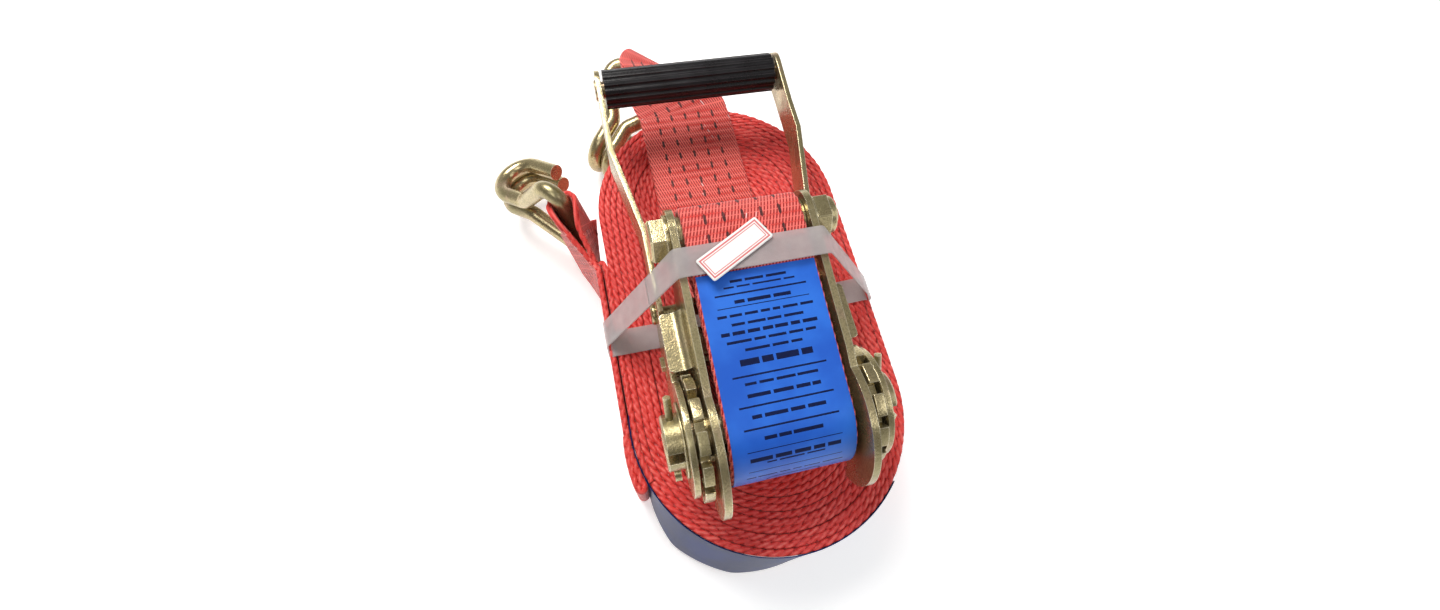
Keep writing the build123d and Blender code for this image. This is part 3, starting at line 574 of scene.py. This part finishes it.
# ---------------------------------------------------------------- short strap and its label
SEWN_START = 36 * MM                    # part sewn back under the run to the bolt, from the mandrel
SEWN_END = 50 * MM
RUN_END = 62 * MM                       # where the run leaves for its turn round the bolt
LOOP_SLACK = 1.8 * MM                   # the strap lies loosely round its hook's bar
LOOP_WIDTH = 36 * MM
BULGE_RISE = 3 * MM                     # the strap bulges and twists before it reaches the hook
BULGE_WIDTH = 47 * MM
BULGE_TWIST = (1.2, 0, 0)
RETURN_STEP = 9 * MM                    # end of the loop's lower side, beyond the leg's end and under it
RETURN_DROP = 3 * MM
RETURN_WIDTH = 0.9 * STRAP_WIDTH
MANDREL_POINTS = 60
LABEL_WIDTH = 48 * MM
LABEL_THICK = 0.3 * MM
LABEL_LIFT = STRAP_THICK / 2 + 0.32 * MM
LABEL_LAST = math.radians(215)          # where the label ends, under the mandrel

# Direction of the run from mandrel to bolt, and the direction out of its upper face
top_along = np.array((0, math.cos(TOP_ANGLE), math.sin(TOP_ANGLE)))
top_normal = np.array((0, -math.sin(TOP_ANGLE), math.cos(TOP_ANGLE)))


def on_top_run(distance, lift=0.0):
    """Point of the run from mandrel to bolt, this far along it and this much above its middle."""
    return top_along * distance + top_normal * (WRAP_RADIUS + lift)


def round_mandrel(radius, first, last):
    """Arc round the mandrel's axis, from one angle to another, counted from +Y towards +Z."""
    angles = np.linspace(first, last, MANDREL_POINTS)
    return np.column_stack([0 * angles, radius * np.cos(angles), radius * np.sin(angles)])


def joint_bar(name):
    """Middle and direction of the bar that a hook swings on."""
    return np.array(JOINTS[name]["pos_m"]), unit(JOINTS[name]["axis"])


def short_strap():
    """Sewn back under itself, round the bolt, over the mandrel, and along the coil to the hook."""
    layer = STRAP_THICK + LAYER_GAP
    sewn_start = on_top_run(SEWN_START, -layer)
    sewn_end = on_top_run(SEWN_END, -layer)
    run_end = on_top_run(RUN_END)
    path = Path()
    path.add(line(sewn_start, sewn_end), share=1)
    path.add(around_bar(bolt, (1, 0, 0), BOLT_EYE_RADIUS, sewn_end, run_end), share=1)
    path.add(run_end, share=1)
    path.add(round_mandrel(WRAP_RADIUS, WRAP_START, WRAP_END), share=np.linspace(1, 0, MANDREL_POINTS))
    corner_y = (WRAP_RADIUS - LEG_Z * math.sin(WRAP_END)) / math.cos(WRAP_END)
    leg_end = np.array((0, LEG_END_Y, LEG_Z))
    path.add([(0, corner_y, LEG_Z)])
    path.add(leg_end)
    bar, bar_axis = joint_bar("short_hook_swing")
    return_point = leg_end + np.array((0, RETURN_STEP, -layer - RETURN_DROP))
    arc = around_bar(bar, bar_axis, HOOK_EYE_RADIUS + LOOP_SLACK, leg_end, return_point)
    bulge = leg_end + (arc[0] - leg_end) * 0.6 + (0, 0, BULGE_RISE)
    path.add(bulge, across=unit(bar_axis + BULGE_TWIST), width=BULGE_WIDTH)
    path.add(arc, across=bar_axis, width=LOOP_WIDTH)
    path.add(return_point, width=RETURN_WIDTH)
    strap, shares = ribbon("short_strap_webbing", path, STRAP_THICK, 36, [WEBBING], rib_depth=RIB_DEPTH)
    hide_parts("short_strap")
    follow_frame(strap)


LABEL_RULES = (0.09, 0.14, 0.40, 0.51, 0.59, 0.67, 0.76)    # places of ruled lines along the label
RULE_HALF_HEIGHT = 0.0022
RULE_HALF_LENGTH = 0.38
WORD_GAP = 0.022
RING_PLACE = 0.855
# Rows of generic print: place along the label, height as a share of its length, number of words
LABEL_ROWS = ((0.040, 0.010, 3), (0.062, 0.010, 4), (0.120, 0.013, 3), (0.172, 0.011, 7), (0.205, 0.011, 4),
              (0.238, 0.011, 7), (0.271, 0.011, 5), (0.304, 0.011, 3), (0.350, 0.022, 4), (0.428, 0.011, 4),
              (0.474, 0.014, 4), (0.548, 0.015, 4), (0.628, 0.016, 3), (0.705, 0.016, 5), (0.725, 0.006, 3),
              (0.800, 0.010, 6), (0.905, 0.009, 5), (0.955, 0.008, 3))


def greeked_row(words, generator):
    """Spans of plain bars that stand for this many words, as shares of the label's width."""
    lengths = generator.uniform(0.5, 1.5, words)
    total = min(0.80, 0.08 + 0.13 * words)
    lengths = lengths / lengths.sum() * (total - WORD_GAP * (words - 1))
    start = 0.5 - total / 2
    spans = []
    for length in lengths:
        spans.append((start, start + length))
        start += length + WORD_GAP
    return spans


def label_print(across, along, height):
    """Which faces of the label carry print: 1 for print and 0 for plain label, for each face of its grid."""
    across = (across[:-1] + np.roll(across, -1, axis=1)[:-1]) / 2
    along = ((along[:-1] + along[1:]) / 2)[:, None] + np.zeros_like(across)
    generator = np.random.default_rng(11)
    printed = np.zeros(across.shape, bool)
    for rule in LABEL_RULES:
        printed |= (np.abs(along - rule) < RULE_HALF_HEIGHT) & (np.abs(across - 0.5) < RULE_HALF_LENGTH)
    for place, size, words in LABEL_ROWS:
        for first, last in greeked_row(words, generator):
            printed |= (np.abs(along - place) < size / 2) & (across > first) & (across < last)
    # A plain stadium ring, in millimetres on a label of this width and length
    width, length, half_straight = 48, 104, 8
    reach = np.maximum(np.abs(across - 0.5) * width - half_straight, 0)
    ring = np.hypot(reach, (along - RING_PLACE) * length)
    printed |= (ring > 2.2) & (ring < 2.8)
    return (printed & (height < 0)).astype(int)


def strap_label():
    """Label sewn round the outside of the strap, from above the wheels to under the mandrel."""
    path = Path()
    flat_run = line(on_top_run(label_high.y / top_along[1], LABEL_LIFT), on_top_run(0, LABEL_LIFT))
    path.add(flat_run, width=LABEL_WIDTH, share=1)
    last_share = 1 - (LABEL_LAST - WRAP_START) / (WRAP_END - WRAP_START)
    arc = round_mandrel(WRAP_RADIUS + LABEL_LIFT, WRAP_START, LABEL_LAST)
    path.add(arc, width=LABEL_WIDTH, share=np.linspace(1, last_share, MANDREL_POINTS))
    label, shares = ribbon("strap_label_sheet", path, LABEL_THICK, 130, [LABEL, PRINT], step=0.35 * MM,
                           passes=6, ripple=0.03 * MM, chooser=label_print)
    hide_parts("strap_label")
    follow_frame(label)


# ---------------------------------------------------------------- coil and its outer end
TURN_PITCH = 3.02 * MM
INNER_TURN = 5.6 * MM                   # radius of the innermost turn's middle
TOP_POINTS = 9                          # mesh points across the edge of a turn
TAIL_ANGLE = math.radians(200)          # where the doubled end of the strap begins, on the near arc
coil_end_radius = coil_radius - STRAP_THICK / 2 + TURN_PITCH / 2
LABEL_ROOM = 0.5 * MM                   # the label is caught between the two layers of the end
doubled_radius = coil_end_radius + STRAP_THICK + LAYER_GAP + LABEL_ROOM
near_arc = np.array((coil_centre[0], coil_centre[1] - coil_half_straight))  # centre of the near arc
EDGE_STRAND_TILT = math.radians(20)     # slanted strands on the webbing's edge
EDGE_STRAND_SPACING = 2.4 * MM
EDGE_STRAND_HALF_LENGTH = 2.6 * MM
EDGE_STRAND_HALF_WIDTH = 1.05 * MM
EDGE_COLUMN_GAP = 1.25 * MM
EDGE_SCATTER = 0.15
TURN_ROWS = np.array((-1.4, -12, -25, -38, -48.6)) * MM     # mesh rows on a turn's flat face, below its top
TURN_RIB_PITCH = 3.2 * MM
TURN_RIB_DEPTH = 0.25 * MM
SINK_LENGTHS = np.array((33, 71, 160)) * MM
SINK_DEPTH = 0.7 * MM                   # turns lie unevenly deep
SWAY_LENGTHS = np.array((27, 52, 110)) * MM
SWAY_DEPTH = 0.22 * MM                  # and bulge a little sideways
TOP_MARGIN = 1.5 * MM                   # turns' upper edges below the coil's top, without strands
TOP_STRAND_HEIGHT = 0.9 * MM
TOP_SHOULDER = 0.35 * MM
BASE_MARGIN = 0.9 * MM
BASE_STRAND_HEIGHT = 0.7 * MM
BASE_SHOULDER = 0.5 * MM


def stadium(turns, radius):
    """Points and outward directions of a clockwise stadium of this radius, after these turns of it."""
    perimeter = 4 * coil_half_straight + 2 * math.pi * radius
    distance = (turns % 1) * perimeter
    straight, arc = 2 * coil_half_straight, math.pi * radius
    cuts = [distance < straight, distance < straight + arc, distance < 2 * straight + arc]
    angle = np.select(cuts, [0 * distance, -(distance - straight) / radius, -math.pi + 0 * distance],
                      -math.pi - (distance - 2 * straight - arc) / radius)
    outward = np.column_stack([np.cos(angle), np.sin(angle)])
    shift = np.select(cuts, [coil_half_straight - distance, -coil_half_straight + 0 * distance,
                             distance - 1.5 * straight - arc], coil_half_straight)
    points = outward * radius[:, None] + coil_centre[:2]
    points[:, 1] += shift
    return points, outward


def spiral(step):
    """The coil's middle line from its core outwards: (distance, points, outward directions, turns)."""
    outer = coil_radius - STRAP_THICK / 2
    perimeter = 4 * coil_half_straight + 2 * math.pi * outer
    end_share = (2 * coil_half_straight + outer * (2 * math.pi - TAIL_ANGLE)) / perimeter
    total = math.floor((outer - INNER_TURN) / TURN_PITCH) + end_share
    turns = np.linspace(0, total, 40000)
    points, outward = stadium(turns, coil_end_radius - (total - turns) * TURN_PITCH)
    reach = np.r_[0, np.cumsum(np.linalg.norm(np.diff(points, axis=0), axis=1))]
    distance = np.arange(0, reach[-1], step)
    pick = [np.interp(distance, reach, column) for column in (*points.T, *outward.T, turns)]
    return distance, np.column_stack(pick[:2]), unit(np.column_stack(pick[2:4])), pick[4]


def slow_wave(distance, lengths, generator):
    """Sum of slow sines along the strap, from about -1 to 1."""
    phases = generator.uniform(0, 2 * math.pi, len(lengths))
    return sum(np.sin(distance / length + phase) for length, phase in zip(lengths, phases)) / len(lengths)


def strand_bumps(distance, offset, generator):
    """Height from 0 to 1 of the slanted strands on the webbing's edge, two staggered columns of them."""
    tilt, spacing = EDGE_STRAND_TILT, EDGE_STRAND_SPACING
    count = int(distance[-1] / spacing * 1.1) + 8
    places = np.cumsum(generator.uniform(0.8, 1.2, count) * spacing) - 3 * spacing
    scatter = generator.uniform(-EDGE_SCATTER, EDGE_SCATTER, count) * MM
    aside = (np.arange(count) % 2 - 0.5) * EDGE_COLUMN_GAP + scatter
    size = generator.uniform(0.75, 1.0, count)
    tallest = np.zeros((len(distance), len(offset)))
    following = np.searchsorted(places, distance)
    for shift in (-2, -1, 0, 1):
        nearest = np.clip(following + shift, 0, count - 1)
        along = (distance - places[nearest])[:, None]
        across = offset - aside[nearest][:, None]
        a = along * math.cos(tilt) + across * math.sin(tilt)
        b = -along * math.sin(tilt) + across * math.cos(tilt)
        inside = 1 - (a / EDGE_STRAND_HALF_LENGTH) ** 2 - (b / EDGE_STRAND_HALF_WIDTH) ** 2
        tallest = np.maximum(tallest, size[nearest][:, None] * np.sqrt(np.clip(inside, 0, 1)))
    return tallest


def coil():
    """The spare webbing, wound on edge turn over turn, each edge a row of slanted strands."""
    generator = np.random.default_rng(7)
    distance, points, outward, turns = spiral(0.8 * MM)
    half = STRAP_THICK / 2
    top = np.linspace(-half, half, TOP_POINTS)
    bumps = strand_bumps(distance, top, generator)
    sink = slow_wave(distance, SINK_LENGTHS, generator) * SINK_DEPTH
    sway = slow_wave(distance, SWAY_LENGTHS, generator) * SWAY_DEPTH
    rib = (np.abs(np.cos(math.pi * distance / TURN_RIB_PITCH)) - 1) * TURN_RIB_DEPTH
    shoulder = 1 - np.sqrt(np.clip(1 - (top / (half * 1.05)) ** 2, 0, 1))
    top_z = coil_high.z - TOP_MARGIN + sink[:, None] + bumps * TOP_STRAND_HEIGHT - shoulder * TOP_SHOULDER
    base_z = coil_low.z + BASE_MARGIN - bumps * BASE_STRAND_HEIGHT + shoulder * BASE_SHOULDER
    face_z = coil_high.z + TURN_ROWS + np.zeros((len(distance), 1))
    face_n = half + rib[:, None] + np.zeros(face_z.shape)
    top_n = np.broadcast_to(top, top_z.shape)
    n = np.concatenate([top_n, face_n, top_n[:, ::-1], -face_n], axis=1) + sway[:, None]
    z = np.concatenate([top_z, face_z, base_z[:, ::-1], face_z[:, ::-1]], axis=1)
    grid = np.dstack([points[:, :1] + outward[:, :1] * n, points[:, 1:] + outward[:, 1:] * n, z])
    uv = np.stack([z - coil_low.z, np.broadcast_to(distance[:, None], z.shape)], axis=-1)
    on_edge = np.zeros(z.shape[1], int)
    base_start = TOP_POINTS + len(TURN_ROWS)
    on_edge[:TOP_POINTS - 1] = 1
    on_edge[base_start:base_start + TOP_POINTS - 1] = 1
    face_material = np.broadcast_to(on_edge, (len(distance) - 1, len(on_edge)))
    made = grid_object("long_strap_turns", grid, uv, [WEBBING, WEBBING_EDGE], face_material=face_material)
    # Crown heights, which the edge material turns into painted highlight and painted shade.
    face_crown = np.full(face_z.shape, 0.4)
    crown = np.concatenate([bumps, face_crown, bumps[:, ::-1], face_crown], axis=1)
    add_attribute(made, "crown", crown)
    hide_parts("long_strap_coil")
    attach(made, "root")


TAIL_MID_DEPTH = 24.8 * MM              # the end's middle below the coil's top
TAIL_WIDTH = 48.5 * MM
TAIL_LEAVE_Y = 96 * MM                  # where the doubled end leaves the coil for its hook
TAIL_BEND = np.array((-3, 7, 0)) * MM   # the first bend away from the coil
TAIL_ARC_POINTS = 24
GATHERED = 0.88                         # width at the bend, as a share
FOLD_RADIUS = 1.55 * MM
SUNK_RISE = 0.4 * MM                    # how far the cut end still stands above the layer under it


def edge_faces(across, along, height):
    """Webbing's side faces take the edge material."""
    sides = (np.abs(across - 0.5) > 0.485).astype(int)
    return np.minimum(sides[:-1], np.roll(sides, -1, axis=1)[:-1])


def tail():
    """The long strap's end, doubled back through its hook and sewn, standing on edge along the coil."""
    mid_z = coil_high.z - TAIL_MID_DEPTH
    width = TAIL_WIDTH
    bar, bar_axis = joint_bar("long_hook_swing")

    def side_run(radius):
        angles = np.linspace(TAIL_ANGLE, math.pi, TAIL_ARC_POINTS)
        arc = np.column_stack([near_arc[0] + radius * np.cos(angles), near_arc[1] + radius * np.sin(angles),
                               np.full(TAIL_ARC_POINTS, mid_z)])
        leave = np.array((near_arc[0] - radius, TAIL_LEAVE_Y, mid_z))
        return np.vstack([arc, leave, leave + TAIL_BEND])

    inner = side_run(coil_end_radius)
    outer = side_run(doubled_radius)
    widths = np.r_[np.full(len(inner) - 1, width), GATHERED * width]
    path = Path()
    path.add(inner, across=(0, 0, -1), width=widths)
    arc = around_bar(bar, bar_axis, HOOK_EYE_RADIUS, inner[-1], outer[-1])
    path.add(arc, across=bar_axis, width=EYE_WIDTH)
    path.add(outer[::-1], across=(0, 0, -1), width=widths[::-1])
    # The cut end is folded back on itself before it is sewn
    away = np.array((math.cos(TAIL_ANGLE), math.sin(TAIL_ANGLE), 0))
    onward = np.array((-away[1], away[0], 0))
    turn = np.linspace(-math.pi / 2, math.pi / 2, 9)[1:, None]
    fold = outer[0] + away * FOLD_RADIUS * (1 + np.sin(turn)) + onward * FOLD_RADIUS * np.cos(turn)
    path.add(fold, across=(0, 0, -1), width=width)
    sunk = np.linspace(2 * FOLD_RADIUS, SUNK_RISE, TAIL_ARC_POINTS)
    third = [near_arc + (doubled_radius + rise) * np.array((math.cos(angle), math.sin(angle)))
             for rise, angle in zip(sunk, np.linspace(TAIL_ANGLE, math.pi, TAIL_ARC_POINTS))]
    path.add([(*place, mid_z) for place in third[1:]], across=(0, 0, -1), width=width)
    made, _ = ribbon("long_strap_end", path, STRAP_THICK, 36, [WEBBING, WEBBING_EDGE], passes=14,
                     rib_depth=RIB_DEPTH, chooser=edge_faces, generator=np.random.default_rng(3))
    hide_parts("long_strap_tail")
    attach(made, "root")


COIL_LABEL_LIFT = 0.35 * MM             # above the turn it lies on
COIL_LABEL_DROP = 0.8 * MM              # below the coil's top
COIL_LABEL_THICK = 0.4 * MM
# How far the label's lower edge stands away from the coil, in millimetres, at these degrees of the near arc
FLARE_ANGLES = (172, 200, 222, 246, 275, 300, 316)
FLARES = (0, 0.5, 8.5, 9, 3, 1, 4.5)


def coil_label():
    """Second label, caught in the doubled end, its lower edge standing away from the outermost turn."""
    box_low, box_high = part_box("long_strap_label")
    width = box_high.z - box_low.z
    angle = np.linspace(math.radians(FLARE_ANGLES[0]), math.radians(FLARE_ANGLES[-1]), 100)
    turned = np.clip(angle - TAIL_ANGLE, 0, None) / (2 * math.pi)
    perimeter_share = 2 * math.pi * coil_radius / (4 * coil_half_straight + 2 * math.pi * coil_radius)
    lift = STRAP_THICK / 2 + COIL_LABEL_LIFT
    radius = coil_end_radius - turned * perimeter_share * TURN_PITCH + lift
    opening = np.interp(np.degrees(angle), FLARE_ANGLES, FLARES) * MM
    outward = np.column_stack([np.cos(angle), np.sin(angle), 0 * angle])
    middle_z = coil_high.z - COIL_LABEL_DROP - width / 2
    points = outward * (radius + opening / 2)[:, None] + (*near_arc, middle_z)
    across = outward * (opening / width)[:, None] + (0, 0, -1)
    path = Path().add(points, across=across, width=width)
    made, _ = ribbon("long_strap_label_sheet", path, COIL_LABEL_THICK, 40, [LABEL_DARK], step=0.8 * MM,
                     passes=4, ripple=0.06 * MM)
    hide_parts("long_strap_label")
    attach(made, "root")


# ---------------------------------------------------------------- shipping band and paper tag
BAND_THICK = 0.7 * MM
BAND_CORNER_X = 30.5 * MM               # where it turns down over the handle's plates
BAND_SPLIT_Z = 9 * MM                   # where its upper and lower pieces meet
LAP_GAP = 0.5 * MM                      # between the band's loose lap and what it lies on
LAP_HALF_TOP = 26 * MM                  # half of its length over the strap
LAP_HALF_FOOT = 31 * MM                 # half of the distance between its feet beside the strap


def band():
    """Plastic band over the ratchet and round the coil, in an upper and a lower piece, and a loose lap over
    the strap.
    """
    y = (band_low.y + band_high.y) / 2
    width = band_high.y - band_low.y
    inset = BAND_THICK / 2
    left = near_arc[0] - doubled_radius - STRAP_THICK / 2 - inset
    right = band_high.x - inset
    top = band_high.z - inset
    base = band_low.z + inset
    shoulder = coil_high.z + MM
    corner = BAND_CORNER_X
    share = (top - BAND_SPLIT_Z) / (top - shoulder)
    left_joint = (-corner + (left + corner) * share, y, BAND_SPLIT_Z)
    right_joint = (corner + (right - corner) * share, y, BAND_SPLIT_Z)
    across = (0, 1, 0)
    upper = Path().add([left_joint, (-corner, y, top), (corner, y, top), right_joint], across, width)
    lower = Path().add([left_joint, (left, y, shoulder), (left, y, base), (right, y, base),
                        (right, y, shoulder), right_joint], across, width)
    lap_y = y - 5 * MM
    over_leg = LEG_Z + STRAP_THICK / 2 + LAP_GAP
    lap_z = coil_high.z + LAP_GAP
    lap = Path().add([(left + MM, lap_y, lap_z - 4 * MM), (left + 2 * MM, lap_y, lap_z),
                      (-LAP_HALF_FOOT, lap_y, lap_z), (-LAP_HALF_TOP, lap_y + 2 * MM, over_leg),
                      (LAP_HALF_TOP, lap_y + 4 * MM, over_leg),
                      (LAP_HALF_FOOT, lap_y + 4 * MM, lap_z), (right - 2 * MM, lap_y + 5 * MM, lap_z),
                      (right - MM, lap_y + 5 * MM, lap_z - 4 * MM)], across, width)
    made = []
    for name, path in (("tie_band_upper", upper), ("tie_band_lower", lower), ("tie_band_lap", lap)):
        piece, _ = ribbon(name, path, BAND_THICK, 14, [BAND], step=0.8 * MM, passes=3, ripple=0.05 * MM)
        made.append(piece)
    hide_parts("tie_band")
    for piece in made:
        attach(piece, "root")
    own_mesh(made[0])


TAG_LENGTH = 31 * MM
TAG_HEIGHT = 11 * MM
TAG_THICK = 0.3 * MM
TAG_TURN = math.radians(29)
TAG_CORNER = 0.8 * MM
TAG_CURL = 0.25 * MM                    # how far its short ends lift


def tag():
    """Paper tag stuck on the band, its corners rounded and its ends slightly lifted."""
    low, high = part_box("paper_tag")
    centre = (low + high) / 2
    radius = TAG_CORNER
    half = np.array((TAG_LENGTH, TAG_HEIGHT)) / 2
    columns, rows = 40, 16
    x = np.linspace(-half[0], half[0], columns + 1)
    y = np.linspace(-half[1], half[1], rows + 1)
    sheet = bmesh.new()
    vertices = {}
    for i, u in enumerate(x):
        for j, v in enumerate(y):
            over = np.maximum(np.abs((u, v)) - (half - radius), 0)
            reach = np.hypot(*over)
            pull = 1 if reach <= radius else radius / reach
            place = np.sign((u, v)) * (np.minimum(np.abs((u, v)), half - radius) + over * pull)
            lift = TAG_CURL * abs(place[0] / half[0]) ** 3
            vertices[i, j] = sheet.verts.new((*place, lift))
    for i in range(columns):
        for j in range(rows):
            sheet.faces.new([vertices[i, j], vertices[i + 1, j], vertices[i + 1, j + 1], vertices[i, j + 1]])
    layer = sheet.loops.layers.uv.new("UVMap")
    for face in sheet.faces:
        for corner in face.loops:
            corner[layer].uv = corner.vert.co.xy
    extruded = bmesh.ops.extrude_face_region(sheet, geom=sheet.faces[:])
    lifted = [item for item in extruded["geom"] if isinstance(item, bmesh.types.BMVert)]
    bmesh.ops.translate(sheet, verts=lifted, vec=(0, 0, TAG_THICK))
    bmesh.ops.recalc_face_normals(sheet, faces=sheet.faces)
    mesh = bpy.data.meshes.new("paper_tag_sheet")
    sheet.to_mesh(mesh)
    sheet.free()
    mesh.materials.append(tag_paint(*half))
    mesh.polygons.foreach_set("use_smooth", [True] * len(mesh.polygons))
    mesh.transform(Matrix.Translation((centre.x, centre.y, low.z)) @ Matrix.Rotation(TAG_TURN, 4, "Z"))
    made = bpy.data.objects.new("paper_tag_sheet", mesh)
    bpy.context.scene.collection.objects.link(made)
    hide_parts("paper_tag")
    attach(made, "frame")


# ---------------------------------------------------------------- CAD pieces
WELD_REACH = 0.002 * MM
EDGE_ROUND = 0.35 * MM
SHARP_ANGLE = math.radians(32)


def finish_cad_pieces():
    """Gives every CAD node its material, smooth faces and a small rounded edge."""
    for name, node in frame["nodes"].items():
        material = ZINC
        if name == "handle_grip":
            material = GRIP
        elif name.endswith("_spring"):
            material = SPRING
        if not node.material_slots:
            node.data.materials.append(material)
        for slot in node.material_slots:
            slot.material = material
        node.data.polygons.foreach_set("use_smooth", [True] * len(node.data.polygons))
        weld = node.modifiers.new("weld", "WELD")
        weld.merge_threshold = WELD_REACH
        bevel = node.modifiers.new("rounded edges", "BEVEL")
        bevel.width = EDGE_ROUND
        bevel.segments = 2
        bevel.limit_method = "ANGLE"
        bevel.angle_limit = SHARP_ANGLE
        normals = node.modifiers.new("normals", "WEIGHTED_NORMAL")
        normals.keep_sharp = False


# ---------------------------------------------------------------- stage
def area_light(name, place, aim, size, power, colour=(1, 1, 1)):
    data = bpy.data.lights.new(name, "AREA")
    data.size = size
    data.energy = power
    data.color = colour
    light = bpy.data.objects.new(name, data)
    light.location = place
    light.rotation_euler = (Vector(aim) - Vector(place)).to_track_quat("-Z", "Y").to_euler()
    bpy.context.scene.collection.objects.link(light)


FLOOR_HALF_SIZE = 3.0
FLOOR_GAP = 0.2 * MM
LIGHT_AIM = (0, 0.06, 0)


def studio():
    """Pale floor, a broad key light from beyond the grip, a fill and a soft surround."""
    size = FLOOR_HALF_SIZE
    mesh = bpy.data.meshes.new("floor")
    z = coil_low.z - FLOOR_GAP
    corners = [(-size, -size, z), (size, -size, z), (size, size, z), (-size, size, z)]
    mesh.from_pydata(corners, [], [(0, 1, 2, 3)])
    mesh.materials.append(floor_paint())
    floor = bpy.data.objects.new("floor", mesh)
    bpy.context.scene.collection.objects.link(floor)
    area_light("key", (-0.25, 0.55, 0.75), LIGHT_AIM, size=0.45, power=8, colour=(1.0, 0.98, 0.95))
    area_light("fill", (0.7, -0.25, 0.6), LIGHT_AIM, size=0.7, power=2.6, colour=(0.95, 0.97, 1.0))
    area_light("top", (-0.3, -0.3, 0.9), LIGHT_AIM, size=0.5, power=1.6)
    world = bpy.data.worlds.new("surround")
    bpy.context.scene.world = world
    world.use_nodes = True
    tree = world.node_tree
    place = tree.nodes.new("ShaderNodeTexCoord")
    split = tree.nodes.new("ShaderNodeSeparateXYZ")
    ramp = tree.nodes.new("ShaderNodeValToRGB")
    ramp.color_ramp.elements[0].color = (0.9, 0.9, 0.9, 1)
    ramp.color_ramp.elements[1].color = (0.5, 0.5, 0.5, 1)
    for height, shade in ((0.3, 0.35), (0.6, 0.10), (0.85, 0.25)):
        ramp.color_ramp.elements.new(height).color = (shade, shade * 0.98, shade * 0.96, 1)
    tree.links.new(place.outputs["Generated"], split.inputs["Vector"])
    tree.links.new(split.outputs["Z"], ramp.inputs["Fac"])
    tree.links.new(ramp.outputs["Color"], tree.nodes["Background"].inputs["Color"])
    tree.nodes["Background"].inputs["Strength"].default_value = 0.8


CAMERA_TARGET = (-11.9 * MM, 52.5 * MM, 0.0)
CAMERA_DISTANCE = 248.6 * MM
CAMERA_AZIMUTH = math.radians(-26.3)
CAMERA_ELEVATION = math.radians(67.3)
CAMERA_ROLL = math.radians(14.4)
SENSOR_WIDTH = 36.0
LENS = 14.5


def camera():
    """Camera close above the near end, looking down on the ratchet and turned a little about its view."""
    flat = math.cos(CAMERA_ELEVATION)
    back = Vector((math.sin(CAMERA_AZIMUTH) * flat, -math.cos(CAMERA_AZIMUTH) * flat,
                   math.sin(CAMERA_ELEVATION)))
    right = Vector((0, 0, 1)).cross(back).normalized()
    up = back.cross(right)
    tilted_right = right * math.cos(CAMERA_ROLL) + up * math.sin(CAMERA_ROLL)
    tilted_up = back.cross(tilted_right)
    data = bpy.data.cameras.new("camera")
    data.sensor_width = SENSOR_WIDTH
    data.lens = LENS
    data.clip_start = 0.005
    made = bpy.data.objects.new("camera", data)
    made.matrix_world = Matrix.Translation(Vector(CAMERA_TARGET) + back * CAMERA_DISTANCE) @ Matrix(
        (tilted_right, tilted_up, back)).transposed().to_4x4()
    bpy.context.scene.collection.objects.link(made)
    bpy.context.scene.camera = made


short_strap()
strap_label()
coil()
tail()
coil_label()
band()
tag()
finish_cad_pieces()
studio()
camera()
bpy.context.scene.view_settings.view_transform = "Standard"
